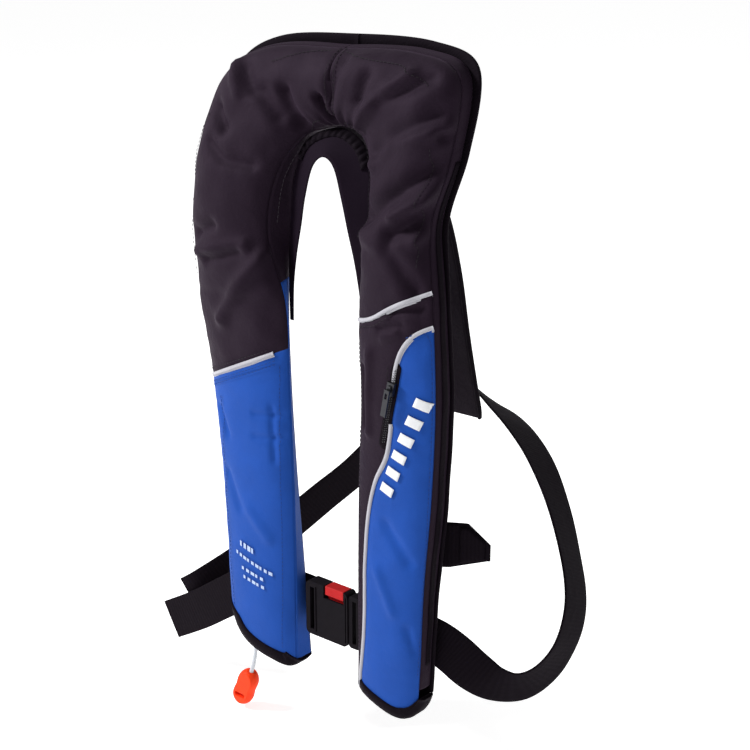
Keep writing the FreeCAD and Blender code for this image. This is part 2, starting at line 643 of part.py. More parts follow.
belt_front_left = ribbon([
    (-8.5, -6.0, BELT_Z, UP), (-8.7, -1.0, BELT_Z, UP), (-12.2, 4.8, BELT_Z, UP),
    (-20.0, 9.2, BELT_Z, UP), (-36.0, 10.0, BELT_Z, UP), (-70.0, 10.0, -415.5, (-0.1, 0, 1)),
    (-105, 10.0, -428, (-0.4, 0, 0.9)), (-140, 10.0, -451, (-0.55, 0, 0.83)),
    (-180, 9.6, -478, (-0.6, 0, 0.8)), (-221, 8.8, -502, (-0.62, 0, 0.78)),
])
save("belt_front_left", belt_front_left)

# Spare strap end with a pointed tip, behind the left-hand lobe of the wearer.
STRAP_TIP = [(80, -300), (140, -300.5), (159, -319), (157, -333), (125, -344), (80, -346)]
tab = ribbon([
    (92, 10.4, -325, (0.05, 0, 1)), (112, 13.8, -324.5, (0.08, 0.05, 1)),
    (132, 22, -323, (0.1, 0.1, 1)), (162, 34, -320, (0.12, 0.1, 1)),
])
tab = tab.common(polygon_prism(STRAP_TIP))
save("strap_end", tab.cut(rod(2.0, (146, 0, -328), (146, 60, -328))))


def belt_loop(x, back, turn):
    """Webbing tunnel sewn to the back of a lobe, through which the belt runs."""
    outer = box((x - 19, x + 19), (back, 13.6), (BELT_Z - 32, BELT_Z + 30))
    room = box((x - 30, x + 30), (back - 1, 12.0), (BELT_Z - 26, BELT_Z + 26))
    loop = outer.cut(room)
    loop.rotate(V(x, 0, BELT_Z), V(0, 1, 0), turn)
    return loop


save("belt_loop_left", belt_loop(-60, 7.2, 0))
save("belt_loop_right", belt_loop(80, 6.8, 0))

# ---------------------------------------------------------------- back harness
YOKE = [(34, 40, 51.5), (6, 40, 60), (-28, 40, 92), (-64, 39, 120), (-120, 38, 141),
        (-180, 37, 156), (-232, 34, 173), (-265, 30, 187), (-277, 27, 192.5)]


def yoke_panel(rows, thick):
    """Tapering cloth from the collar down the wearer's back."""
    rings = []
    for z, half, y in rows:
        rings.append(quad(V(-half, y, z), V(half, y, z), V(half, y + thick, z), V(-half, y + thick, z)))
    return loft(rings)


YOKE = refined(YOKE, 2)
yoke = yoke_panel(YOKE, 2.4)
save("yoke", yoke)


def yoke_edge(rows, side):
    """Bound edge of the yoke."""
    rings = []
    for z, half, y in rows:
        a, b = V(side * half, y - 0.8, z), V(side * (half + 3.0), y - 0.8, z)
        deep = V(0, 4.0, 0)
        rings.append(quad(a, b, b + deep, a + deep))
    return loft(rings)


save("yoke_binding", Part.makeCompound([yoke_edge(YOKE, -1), yoke_edge(YOKE, 1)]))
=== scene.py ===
import math

import bpy
import numpy as np
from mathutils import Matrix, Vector, kdtree, noise


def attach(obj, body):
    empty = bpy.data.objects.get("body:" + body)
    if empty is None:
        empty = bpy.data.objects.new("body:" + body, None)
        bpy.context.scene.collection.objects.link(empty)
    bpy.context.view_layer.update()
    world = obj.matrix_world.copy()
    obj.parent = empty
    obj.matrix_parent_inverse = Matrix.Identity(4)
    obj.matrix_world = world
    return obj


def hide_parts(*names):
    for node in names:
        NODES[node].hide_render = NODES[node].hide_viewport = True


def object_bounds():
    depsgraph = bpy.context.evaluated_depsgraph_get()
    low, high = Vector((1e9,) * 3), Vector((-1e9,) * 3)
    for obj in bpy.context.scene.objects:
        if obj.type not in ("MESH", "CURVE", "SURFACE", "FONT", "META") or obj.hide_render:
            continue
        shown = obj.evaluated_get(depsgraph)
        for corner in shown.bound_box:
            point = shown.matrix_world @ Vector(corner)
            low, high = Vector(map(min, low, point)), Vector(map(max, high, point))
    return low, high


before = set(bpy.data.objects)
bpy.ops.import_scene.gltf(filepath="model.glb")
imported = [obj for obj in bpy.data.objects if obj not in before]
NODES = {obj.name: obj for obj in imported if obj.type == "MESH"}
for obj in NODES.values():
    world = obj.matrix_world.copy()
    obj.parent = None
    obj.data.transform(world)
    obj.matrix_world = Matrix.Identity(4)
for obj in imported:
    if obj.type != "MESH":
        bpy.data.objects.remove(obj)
cad_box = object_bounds()
MM = 0.001

# ---------------------------------------------------------------- camera
camera_data = bpy.data.cameras.new("camera")
camera_data.lens = 74.88
camera_data.sensor_width = 36.0
camera = bpy.data.objects.new("camera", camera_data)
camera.location = (0.8646, -0.9617, 0.2289)
camera.rotation_euler = (math.radians(72), 0.0, math.radians(40))
bpy.context.scene.collection.objects.link(camera)
bpy.context.scene.camera = camera


# ---------------------------------------------------------------- materials
def new_material(name):
    material = bpy.data.materials.new(name)
    material.use_nodes = True
    tree = material.node_tree
    return material, tree, tree.nodes["Principled BSDF"]


def add(tree, kind, inputs=(), **settings):
    """Shader node with its settings; inputs are (socket, value or output socket) pairs."""
    node = tree.nodes.new(kind)
    for key, value in settings.items():
        setattr(node, key, value)
    for socket, value in inputs:
        if isinstance(value, bpy.types.NodeSocket):
            tree.links.new(value, node.inputs[socket])
        else:
            node.inputs[socket].default_value = value
    return node


def maths(tree, operation, a, b=0.0):
    return add(tree, "ShaderNodeMath", [(0, a), (1, b)], operation=operation).outputs[0]


def mixed(tree, share, low, high):
    """Colour between two colours by a share."""
    node = add(tree, "ShaderNodeMix", data_type="RGBA")
    tree.links.new(share, node.inputs[0])
    node.inputs[6].default_value = (*low, 1)
    node.inputs[7].default_value = (*high, 1)
    return node.outputs[2]


def waves(tree, vector, axis, period):
    """Sine across one axis of a vector in millimetres, 0 to 1."""
    parts = add(tree, "ShaderNodeSeparateXYZ", [(0, vector)])
    turn = maths(tree, "MULTIPLY", parts.outputs[axis], 2 * math.pi / period)
    return maths(tree, "ADD", maths(tree, "MULTIPLY", maths(tree, "SINE", turn), 0.5), 0.5)


def cloth_vector(tree, on_cad):
    """Coordinates in millimetres: the cloth's own grid, or the space of a CAD piece."""
    if on_cad:
        place = add(tree, "ShaderNodeTexCoord").outputs["Object"]
        return add(tree, "ShaderNodeVectorMath", [(0, place), (1, (1000, 1000, 1000))],
                   operation="MULTIPLY").outputs[0]
    return add(tree, "ShaderNodeUVMap", uv_map="cloth").outputs[0]


def fabric(name, colour, period=0.9, contrast=0.25, rough=0.72, sheen=0.25, tint=(1, 1, 1),
           bump=0.12, crinkle=0.25, ribs=False, on_cad=False, shine=0.16):
    """Woven cloth: yarns, slow changes of shade, fine crinkles and a soft sheen."""
    material, tree, shader = new_material(name)
    vector = cloth_vector(tree, on_cad)
    warp = waves(tree, vector, 0, period)
    weft = waves(tree, vector, 1, period if not ribs else period * 2.2)
    if ribs:
        weave = maths(tree, "MULTIPLY", weft, maths(tree, "ADD", maths(tree, "MULTIPLY", warp, 0.5), 0.5))
    else:
        both = maths(tree, "MULTIPLY", warp, weft)
        neither = maths(tree, "MULTIPLY", maths(tree, "SUBTRACT", 1.0, warp),
                        maths(tree, "SUBTRACT", 1.0, weft))
        weave = maths(tree, "ADD", both, neither)
    slow = add(tree, "ShaderNodeTexNoise", [("Vector", vector), ("Scale", 0.022), ("Detail", 4.0),
                                           ("Roughness", 0.6)]).outputs[0]
    yarn = add(tree, "ShaderNodeTexNoise", [("Vector", vector), ("Scale", 0.9), ("Detail", 2.0)]).outputs[0]
    shade = maths(tree, "ADD", maths(tree, "MULTIPLY", slow, 0.55), maths(tree, "MULTIPLY", yarn, 0.2))
    shade = maths(tree, "ADD", shade, maths(tree, "MULTIPLY", weave, contrast))
    dark = tuple(c * 0.62 for c in colour)
    light = tuple(min(c * 1.35 + 0.002, 1.0) for c in colour)
    tree.links.new(mixed(tree, shade, dark, light), shader.inputs["Base Color"])
    shader.inputs["Roughness"].default_value = rough
    shader.inputs["Sheen Weight"].default_value = sheen
    shader.inputs["Sheen Roughness"].default_value = 0.45
    shader.inputs["Sheen Tint"].default_value = (*tint, 1)
    shader.inputs["Specular IOR Level"].default_value = shine
    shader.inputs["Specular Tint"].default_value = (*tint, 1)
    small = add(tree, "ShaderNodeTexNoise", [("Vector", vector), ("Scale", 0.09), ("Detail", 5.0),
                                            ("Roughness", 0.62), ("Distortion", 0.6)]).outputs[0]
    height = maths(tree, "ADD", maths(tree, "MULTIPLY", weave, 0.12),
        maths(tree, "MULTIPLY", small, crinkle * 6))
    relief = add(tree, "ShaderNodeBump", [("Height", height), ("Strength", min(1.0, bump * 4)),
                                          ("Distance", 0.001)])
    tree.links.new(relief.outputs[0], shader.inputs["Normal"])
    return material


def plastic(name, colour, rough=0.38, grain=0.25, coat=0.0, shine=0.5):
    """Moulded plastic: fine spark-eroded grain, uneven gloss, slightly paler rubbed patches."""
    material, tree, shader = new_material(name)
    vector = cloth_vector(tree, True)
    patches = add(tree, "ShaderNodeTexNoise", [("Vector", vector), ("Scale", 0.16),
        ("Detail", 5.0)]).outputs[0]
    fine = add(tree, "ShaderNodeTexNoise", [("Vector", vector), ("Scale", 2.6), ("Detail", 3.0)]).outputs[0]
    light = tuple(min(c * 1.3 + 0.004, 1.0) for c in colour)
    tree.links.new(mixed(tree, patches, tuple(c * 0.8 for c in colour), light), shader.inputs["Base Color"])
    gloss = maths(tree, "ADD", maths(tree, "MULTIPLY", patches, 0.22), rough - 0.1)
    tree.links.new(gloss, shader.inputs["Roughness"])
    shader.inputs["Coat Weight"].default_value = coat
    shader.inputs["Specular IOR Level"].default_value = shine
    relief = add(tree, "ShaderNodeBump", [("Height", fine), ("Strength", grain), ("Distance", 0.0002)])
    tree.links.new(relief.outputs[0], shader.inputs["Normal"])
    return material


def metal(name, colour, rough=0.3):
    """Plated or turned metal with fine tool lines and a few dull patches."""
    material, tree, shader = new_material(name)
    vector = cloth_vector(tree, True)
    stretched = add(tree, "ShaderNodeVectorMath", [(0, vector), (1, (6.0, 6.0, 0.35))], operation="MULTIPLY")
    lines = add(tree, "ShaderNodeTexNoise", [("Vector", stretched.outputs[0]), ("Scale", 1.2),
                                            ("Detail", 4.0)]).outputs[0]
    patches = add(tree, "ShaderNodeTexNoise", [("Vector", vector), ("Scale", 0.2),
        ("Detail", 5.0)]).outputs[0]
    tree.links.new(mixed(tree, patches, tuple(c * 0.7 for c in colour), colour), shader.inputs["Base Color"])
    shader.inputs["Metallic"].default_value = 1.0
    gloss = maths(tree, "ADD", maths(tree, "MULTIPLY", lines, 0.25), rough - 0.1)
    tree.links.new(gloss, shader.inputs["Roughness"])
    relief = add(tree, "ShaderNodeBump", [("Height", lines), ("Strength", 0.3), ("Distance", 0.0001)])
    tree.links.new(relief.outputs[0], shader.inputs["Normal"])
    return material


BLACK = (0.0064, 0.0030, 0.0068)
BLUE = (0.0075, 0.055, 0.30)
PLUM = (0.9, 0.62, 0.95)
LOOKS = {
    "nylon_black": fabric("nylon_black", BLACK, sheen=0.035, tint=PLUM),
    "nylon_blue": fabric("nylon_blue", BLUE, sheen=0.05, tint=(0.5, 0.7, 1.0), contrast=0.2, crinkle=0.16,
        shine=0.2),
    "lining_black": fabric("lining_black", (0.0035, 0.0014, 0.0045), sheen=0.01, crinkle=0.08, tint=PLUM,
        shine=0.08),
    "binding_black": fabric("binding_black", (0.0022, 0.0013, 0.0024), period=1.3, sheen=0.01, ribs=True,
                            tint=PLUM, shine=0.06),
    "piping_light": fabric("piping_light", (0.38, 0.375, 0.41), period=1.1, sheen=0.1, rough=0.5,
        crinkle=0.08),
    "webbing_black": fabric("webbing_black", (0.0022, 0.0014, 0.0024), period=1.7, contrast=0.45, sheen=0.01,
                            bump=0.22, ribs=True, crinkle=0.1, tint=PLUM, shine=0.06),
    "mesh_black": fabric("mesh_black", (0.0032, 0.0019, 0.0035), period=2.4, contrast=0.5, sheen=0.02,
                         bump=0.25, crinkle=0.15, tint=PLUM, shine=0.07),
    "print_light": fabric("print_light", (0.82, 0.84, 0.88), sheen=0.0, rough=0.55, contrast=0.08,
        crinkle=0.1),
    "print_pale": fabric("print_pale", (0.42, 0.52, 0.74), sheen=0.0, rough=0.6, contrast=0.08, crinkle=0.1),
    "thread_black": fabric("thread_black", (0.010, 0.007, 0.011), period=0.6, sheen=0.05),
    "thread_blue": fabric("thread_blue", (0.006, 0.034, 0.17), period=0.6, sheen=0.05),
    "bladder_film": fabric("bladder_film", (0.80, 0.42, 0.03), period=0.7, sheen=0.1, rough=0.45),
    "cord_grey": fabric("cord_grey", (0.50, 0.525, 0.56), period=1.2, contrast=0.4, sheen=0.2, bump=0.3,
        crinkle=0.05),
    "webbing_solid": fabric("webbing_solid", (0.003, 0.002, 0.0035), period=1.7, ribs=True, on_cad=True,
                            sheen=0.01, shine=0.06),
    "zip_metal": metal("zip_metal", (0.05, 0.05, 0.055), 0.35),
    "gas_steel": metal("gas_steel", (0.55, 0.56, 0.58), 0.28),
    "brass": metal("brass", (0.78, 0.56, 0.24), 0.3),
    "plastic_black": plastic("plastic_black", (0.0035, 0.0022, 0.004), 0.55, 0.3, shine=0.04),
    "plastic_red": plastic("plastic_red", (0.36, 0.006, 0.007), 0.45, 0.2, shine=0.1),
    "plastic_orange": plastic("plastic_orange", (0.84, 0.042, 0.006), 0.5, 0.2, shine=0.1),
    "plastic_yellow": plastic("plastic_yellow", (0.85, 0.65, 0.05), 0.45),
    "rubber_black": plastic("rubber_black", (0.012, 0.012, 0.013), 0.7, 0.5),
}


# ---------------------------------------------------------------- sheet and mesh helpers, in millimetres
def catmull(rows, steps):
    """Points of a Catmull-Rom curve through rows of numbers."""
    rows = np.asarray(rows, float)
    t = np.linspace(0, len(rows) - 1, (len(rows) - 1) * steps + 1)
    i = np.minimum(t.astype(int), len(rows) - 2)
    f = (t - i)[:, None]
    a, b, c, d = (rows[np.clip(i + k, 0, len(rows) - 1)] for k in (-1, 0, 1, 2))
    return 0.5 * (2 * b + (c - a) * f + (2 * a - 5 * b + 4 * c - d) * f * f + (3 * b - a - 3 * c + d)
        * f ** 3)


def spaced(rows, points, step):
    """Rows again, evenly spaced by the length along points."""
    far = np.concatenate([[0], np.cumsum(np.linalg.norm(np.diff(points, axis=0), axis=1))])
    at = np.linspace(0, far[-1], max(2, int(round(far[-1] / step)) + 1))
    return np.stack([np.interp(at, far, column) for column in np.asarray(rows, float).T], 1)


def grid(points):
    """Sheet from an (n, m, 3) array: vertices with x, y, z and the cloth's own two lengths, and faces."""
    n, m = points.shape[:2]
    step = np.linalg.norm(np.diff(points, axis=1), axis=2)
    across = np.concatenate([np.zeros((n, 1)), np.cumsum(step, axis=1)], 1)
    across -= across[:, m // 2:m // 2 + 1]
    middle = points[:, m // 2]
    along = np.concatenate([[0], np.cumsum(np.linalg.norm(np.diff(middle, axis=0), axis=1))])
    verts = np.concatenate([points, across[..., None], np.repeat(along[:, None, None], m, 1)], 2)
    i, j = np.meshgrid(np.arange(n - 1), np.arange(m - 1), indexing="ij")
    a = (i * m + j).ravel()
    return verts.reshape(-1, 5), [tuple(f) for f in np.stack([a, a + 1, a + m + 1, a + m], 1).tolist()]


def normals(points):
    """Unit normals of an (n, m, 3) array of points."""
    n = np.cross(np.gradient(points, axis=0), np.gradient(points, axis=1))
    return n / np.maximum(np.linalg.norm(n, axis=2, keepdims=True), 1e-9)


def clip(sheet, value):
    """Part of a sheet where value(vertices) is positive, cut exactly, and the points of the cut."""
    verts, faces = sheet
    d = value(verts)
    kept, rows, cut, out = {}, [], [], []

    def corner(i):
        if i not in kept:
            kept[i] = len(rows)
            rows.append(verts[i])
        return kept[i]

    def between(i, j):
        key = (min(i, j), max(i, j))
        if key not in kept:
            t = d[key[0]] / (d[key[0]] - d[key[1]])
            kept[key] = len(rows)
            rows.append(verts[key[0]] * (1 - t) + verts[key[1]] * t)
            cut.append(rows[-1])
        return kept[key]

    for face in faces:
        signs = [d[i] >= 0 for i in face]
        if not any(signs):
            continue
        loop = []
        for k, i in enumerate(face):
            j = face[(k + 1) % len(face)]
            if d[i] >= 0:
                loop.append(corner(i))
            if (d[i] >= 0) != (d[j] >= 0):
                loop.append(between(i, j))
        if len(loop) >= 3:
            out.append(tuple(loop))
    return (np.array(rows), out), np.array(cut)


def piece(name, sheet, look, body="root", nodes=(), thick=0.0, offset=-1.0):
    """Object in metres from a sheet, riding on a body and standing for CAD nodes."""
    verts, faces = sheet
    mesh = bpy.data.meshes.new(name)
    mesh.from_pydata((verts[:, :3] * MM).tolist(), [], faces)
    mesh.polygons.foreach_set("use_smooth", [True] * len(mesh.polygons))
    if verts.shape[1] == 5:
        layer = mesh.uv_layers.new(name="cloth")
        index = np.zeros(len(mesh.loops), int)
        mesh.loops.foreach_get("vertex_index", index)
        layer.data.foreach_set("uv", verts[index, 3:5].ravel())
    mesh.materials.append(LOOKS[look])
    mesh.update()
    obj = bpy.data.objects.new(name, mesh)
    bpy.context.scene.collection.objects.link(obj)
    if thick:
        solid = obj.modifiers.new("thickness", "SOLIDIFY")
        solid.thickness = thick * MM
        solid.offset = offset
    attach(obj, body)
    if nodes:
        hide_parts(*nodes)
    return obj


def joined(sheets):
    """Several sheets as one."""
    verts, faces, count = [], [], 0
    for v, f in sheets:
        verts.append(v)
        faces += [tuple(i + count for i in face) for face in f]
        count += len(v)
    return np.concatenate(verts), faces


def tube(path, radius_wide, radius_high, sides=10, up=(0, -1, 0)):
    """Sheet of an elliptical tube along a path; up is the direction of its height."""
    path = np.asarray(path, float)
    run = np.gradient(path, axis=0)
    run /= np.maximum(np.linalg.norm(run, axis=1, keepdims=True), 1e-9)
    up = np.broadcast_to(np.asarray(up, float), path.shape)
    side = np.cross(run, up)
    side /= np.maximum(np.linalg.norm(side, axis=1, keepdims=True), 1e-9)
    top = np.cross(side, run)
    turn = np.linspace(0, 2 * math.pi, sides, endpoint=False)
    ring = (side[:, None] * np.cos(turn)[None, :, None] * radius_wide
            + top[:, None] * np.sin(turn)[None, :, None] * radius_high)
    return wrapped(path[:, None] + ring)


def wrapped(points):
    """Closed tube of rings (n, m, 3) with both ends capped."""
    n, m = points.shape[:2]
    looped = np.concatenate([points, points[:, :1]], 1)
    (verts, faces) = grid(looped)
    caps = [tuple(range(m)), tuple((n - 1) * (m + 1) + k for k in reversed(range(m)))]
    merged = {i * (m + 1) + m: i * (m + 1) for i in range(n)}
    faces = [tuple(merged.get(k, k) for k in f) for f in faces]
    used = sorted({k for f in faces + caps for k in f})
    place = {k: i for i, k in enumerate(used)}
    return verts[used], [tuple(place[k] for k in f) for f in faces + [caps[0], caps[1]]]


# ---------------------------------------------------------------- the horseshoe's cross sections
SECTIONS = [
    (-28, -492, -113, -492, -12, 18, 11, 8, -3), (-27.5, -430, -119.5, -434, -12, 18, 13.5, 9.5, 2),
    (-27, -360, -124, -366, -12, 18, 13, 11, 8), (-28, -280, -128.5, -292, -12, 18, 14, 11.5, 13.5),
    (-30.5, -200, -137.5, -215, -12, 18, 15, 12.5, 15.5), (-33.5, -130, -145, -140, -12, 20, 17, 8, 15.5),
    (-55, -70, -150, -72, -10, 22, 20, 8, -8), (-50, -20, -151, -8, -2, 24, 23, 8, -5),
    (-34, 11, -131, 60, 13, 24, 25, 8, 0), (-16, 20, -84, 89, 21, 22, 25, 8, 0),
    (2, 23, 4, 96, 24, 20, 25, 8, 0),
    (20, 21, 86, 96, 22, 18, 25, 8, 0), (34, 12, 135, 79, 18, 16, 24, 8, 0),
    (46, -12, 132.5, 14, 11, 15, 23, 6, 0),
    (49, -60, 120, -42, 0, 16, 19, 4, 0), (49.5, -120, 129, -108, -10, 19, 16, 2, 0),
    (53, -200, 134, -185, -12, 20, 14, 2, 0), (50, -280, 131, -270, -12, 20, 13, 2, 0),
    (49, -360, 124, -355, -12, 18, 12, 2, 0), (49, -430, 121, -430, -12, 16, 11, 2, 0),
    (48, -492, 117, -492, -12, 16, 8, 2, 0),
]
SEAM_X = 7.0
rows = catmull(SECTIONS, 24)
middle_line = np.stack([(rows[:, 0] + rows[:, 2]) / 2, rows[:, 4], (rows[:, 1] + rows[:, 3]) / 2], 1)
rows = spaced(rows, middle_line, 3.0)
inner = np.stack([rows[:, 0], rows[:, 4], rows[:, 1]], 1)
outer = np.stack([rows[:, 2], rows[:, 4], rows[:, 3]], 1)
along = outer - inner
along /= np.linalg.norm(along, axis=1, keepdims=True)
outer = outer - along * rows[:, 7:8]
depth = rows[:, 5:6] * np.array([[0.0, 1.0, 0.0]])
back_inner = inner + depth + along * rows[:, 8:9]
COLUMNS = 46
share = 0.5 - 0.5 * np.cos(np.linspace(0, math.pi, COLUMNS))
share = 0.55 * share + 0.45 * np.linspace(0, 1, COLUMNS)
swell = (1 - np.abs(2 * share - 1) ** 2.5) ** 0.7
face = inner[:, None] + (outer - inner)[:, None] * share[None, :, None]
face[..., 1] -= rows[:, 6:7] * swell[None]

# Seams between panels, as curves in x and z.
LEFT_SEAM = ((-160, -229), (0, -156))
RIGHT_SEAM = catmull([(40, -130), (60, -126), (76, -120), (97, -107), (118, -97), (145, -85)], 8)
PANEL_EDGE = catmull([(150, -117), (138, -118), (118, -127), (106, -142), (100, -162), (97, -190), (96, -215),
                      (91, -238), (78, -264), (69, -300), (65, -340), (63, -400), (60, -430), (55, -460),
                      (53, -500)], 8)
RIGHT_HEM = catmull([(128, -420), (125, -442), (121, -460), (115.5, -474), (107, -482), (96, -483.5),
                     (82, -480.5), (64, -475), (30, -464)], 10)
LEFT_HEM = catmull([(-121, -415), (-112, -434), (-101, -449), (-88, -462), (-72, -470), (-49, -476),
    (-34, -479),
                    (-27, -475), (-18, -464)], 10)
ZIP_TOP, ZIP_LOW = np.array([102.0, -158.0]), np.array([89.0, -226.0])
ZIP_FACE = -27.0


def above_left_seam(v):
    (x0, z0), (x1, z1) = LEFT_SEAM
    return v[:, 2] - (z0 + (v[:, 0] - x0) * (z1 - z0) / (x1 - x0))


def above_right_seam(v):
    return v[:, 2] - np.interp(v[:, 0], RIGHT_SEAM[:, 0], RIGHT_SEAM[:, 1])


def inside_blue(v):
    edge = PANEL_EDGE[np.argsort(PANEL_EDGE[:, 1])]
    x = np.interp(v[:, 2], edge[:, 1], edge[:, 0])
    return v[:, 0] - np.where(v[:, 2] > -117, 150 + (v[:, 2] + 117) * 12, x)


def above_hem(v, hem, lift=0.0):
    order = np.argsort(hem[:, 0])
    return v[:, 2] - np.interp(v[:, 0], hem[order, 0], hem[order, 1]) - lift


# ---------------------------------------------------------------- folds pressed into the cover
# height (ridge up, valley down), width, points of the fold in x and z
FOLD_GAIN = 2.8
FOLDS = [
    (-4.5, 4.5, (-6, 48), (1, 28)), (-3.0, 7, (-42, 52), (-25, 15)), (-2.2, 8, (-63, 49), (-45, 30)),
    (-2.0, 7, (18, 80), (7, 49)), (-2.2, 6, (48, 71), (40, 50)), (2.4, 6, (92, 75), (51, 45), (38, 31)),
    (-2.0, 6, (111, 73), (65, 54)), (-2.6, 9, (119, 46), (63, 10)), (2.2, 7, (145, 43), (79, 20), (59, 2)),
    (-2.8, 5, (145, 27), (124, 30)), (-3.2, 9, (135, 13), (73, -30), (56, -42)),
    (2.6, 7, (143, 3), (91, -36)),
    (-2.6, 7, (130, -23), (88, -51)), (2.0, 6, (132, -36), (110, -54)), (-2.4, 6, (118, -56), (130, -81)),
    (-2.6, 7, (-114, 32), (-101, 17)), (-1.8, 6, (-114, 3), (-95, -9), (-66, -12)),
    (-2.2, 6, (-124, -77), (-104, -68)),
    (1.8, 7, (-123, -94), (-70, -82)), (2.2, 8, (-50, -87), (-73, -116), (-97, -151)),
    (1.6, 5, (-50, -87), (-18, -130)),
    (-2.4, 7, (-46, -91), (-26, -127)), (-1.8, 6, (-113, -99), (-76, -87)), (-2.0, 7, (89, -63), (115, -91)),
    (1.4, 9, (50, -53), (89, -63)), (-1.6, 6, (-86, 67), (-73, 50)), (1.6, 6, (-100, 66), (-89, 46)),
    (-2.2, 6, (139, 84), (150, 67)), (-1.6, 5, (96, -112), (122, -106)), (-1.2, 4, (84, -128), (104, -122)),
    (1.2, 4, (88, -134), (101, -128)), (-1.6, 5, (60, -168), (62, -215)), (1.2, 5, (72, -150), (70, -220)),
    (-0.9, 3, (-62, -235), (-24, -231)), (-0.7, 3, (-62, -256), (-24, -253)),
    (-0.8, 3, (-44, -225), (-42, -276)),
    (-1.0, 6, (90, -300), (112, -330)), (0.9, 6, (80, -345), (96, -380)), (-0.9, 5, (110, -395), (124, -430)),
    (-0.8, 6, (-100, -300), (-84, -330)), (0.8, 7, (-70, -330), (-50, -352)),
    (-1.0, 5, (-110, -240), (-98, -262)),
]


def line_distance(x, z, points):
    """Distance in x and z from a line of points."""
    best = np.full(x.shape, 1e9)
    for (ax, az), (bx, bz) in zip(points, points[1:]):
        dx, dz = bx - ax, bz - az
        t = np.clip(((x - ax) * dx + (z - az) * dz) / (dx * dx + dz * dz), 0, 1)
        best = np.minimum(best, np.hypot(x - ax - t * dx, z - az - t * dz))
    return best


def lumps(points, size, seed):
    """Smooth noise over an array of points, about -1 to 1."""
    flat = points.reshape(-1, 3) / size
    made = [noise.noise((p[0] + seed, p[1], p[2])) for p in flat.tolist()]
    return np.array(made).reshape(points.shape[:-1])


x, z = face[..., 0], face[..., 2]
relief = np.zeros(x.shape)
for height, width, *points in FOLDS:
    relief += FOLD_GAIN * height * np.exp(-(line_distance(x, z, points) / (width * 0.9)) ** 2)
edge_far = np.minimum(share, 1 - share)[None] * np.linalg.norm(outer - inner, axis=1)[:, None]
upper = np.clip((z + 240) / 120, 0.0, 1.0)
relief += lumps(face, 46.0, 3.1) * (0.8 + 2.8 * upper)
relief += lumps(face, 19.0, 8.7) * (0.25 + 1.0 * upper)
pucker = np.sin(np.arange(len(rows))[:, None] * 3.0
    / (5.2 + 1.6 * np.sin(np.arange(len(rows))[:, None] / 23.0)))
relief += pucker * 0.55 * np.exp(-(edge_far / 11.0) ** 2) * (0.5 + 0.5 * lumps(face, 30.0, 5.5))
gather = np.clip(1 - np.hypot(x - 4, z - 24) / 40, 0, 1)
angle = np.arctan2(z - 10, x - 4)
relief += gather ** 1.3 * 2.0 * np.sin(angle * 17 + 2.0 * lumps(face, 25.0, 1.3))
flat_points = face.reshape(-1, 3)
below_collar = (flat_points[:, 2] + 60 < 0).astype(float)
behind_neck = (flat_points[:, 2] > 0).astype(float)
everywhere = np.ones(len(flat_points))
for distance, width, high, where in (
        (np.abs(above_left_seam(flat_points)) * 0.91, 5.0, -1.0, below_collar),
        (np.abs(above_right_seam(flat_points)), 5.0, -1.0, below_collar),
        (np.abs(inside_blue(flat_points)) * 0.9, 4.0, -0.7, everywhere),
        (np.abs(flat_points[:, 0] - SEAM_X), 3.2, -1.6, behind_neck)):
    relief += (high * np.exp(-(distance / width) ** 2) * where).reshape(x.shape)
relief *= np.clip(edge_far / 7.0, 0, 1) ** 0.8
out = normals(face)
out *= -np.sign(out[..., 1:2])
face = face + out * relief[..., None]
zip_run = (ZIP_LOW - ZIP_TOP) / np.linalg.norm(ZIP_LOW - ZIP_TOP)
zip_far = line_distance(face[..., 0], face[..., 2],
    [tuple(ZIP_TOP - zip_run * 4), tuple(ZIP_LOW + zip_run * 4)])
press = np.clip(1.6 - zip_far / 8.0, 0, 1)
face[..., 1] += press * (np.maximum(face[..., 1], ZIP_FACE + 0.9) - face[..., 1])
cover = grid(face)

tree = kdtree.KDTree(len(cover[0]))
for i, v in enumerate(cover[0][:, :3].tolist()):
    tree.insert((v[0], 0, v[2]), i)
tree.balance()


def front_y(px, pz):
    """y of the cover's front at x and z, from its nearest points."""
    found = tree.find_n((px, 0, pz), 4)
    weight = [1 / (d * d + 0.05) for _, _, d in found]
    return sum(w * cover[0][i, 1] for w, (_, i, _) in zip(weight, found)) / sum(weight)


# ---------------------------------------------------------------- front panels
left, _ = clip(cover, lambda v: SEAM_X - v[:, 0])
right, _ = clip(cover, lambda v: v[:, 0] - SEAM_X)
left, _ = clip(left, lambda v: above_hem(v, LEFT_HEM, 4.0))
right, _ = clip(right, lambda v: above_hem(v, RIGHT_HEM, 4.0))
upper_left, left_seam_points = clip(left, above_left_seam)
blue_left, _ = clip(left, lambda v: -above_left_seam(v))
upper_right, right_seam_points = clip(right, above_right_seam)
lower_right, _ = clip(right, lambda v: -above_right_seam(v))
black_right, panel_points = clip(lower_right, lambda v: -inside_blue(v))
blue_right, _ = clip(lower_right, inside_blue)
CLOTH = 1.1
for name, sheet, look, node in (
        ("cover_upper_left", upper_left, "nylon_black", "cover_front_upper_left"),
        ("cover_upper_right", upper_right, "nylon_black", "cover_front_upper_right"),
        ("cover_blue_left", blue_left, "nylon_blue", "cover_front_blue_left"),
        ("cover_black_right", black_right, "nylon_black", "cover_front_black_right"),
        ("cover_blue_right", blue_right, "nylon_blue", "cover_front_blue_right")):
    piece(name, sheet, look, nodes=[node], thick=CLOTH, offset=1.0)


def seam_path(points, key, low, high, step=2.5):
    """Cut points in order along one axis, thinned and evened into a path on the cover."""
    points = points[np.argsort(points[:, key])][:, :3]
    points = points[(points[:, key] >= low) & (points[:, key] <= high)]
    smooth = spaced(points, points, step)
    for _ in range(2):
        smooth[1:-1] = (smooth[:-2] + 2 * smooth[1:-1] + smooth[2:]) / 4
    return smooth


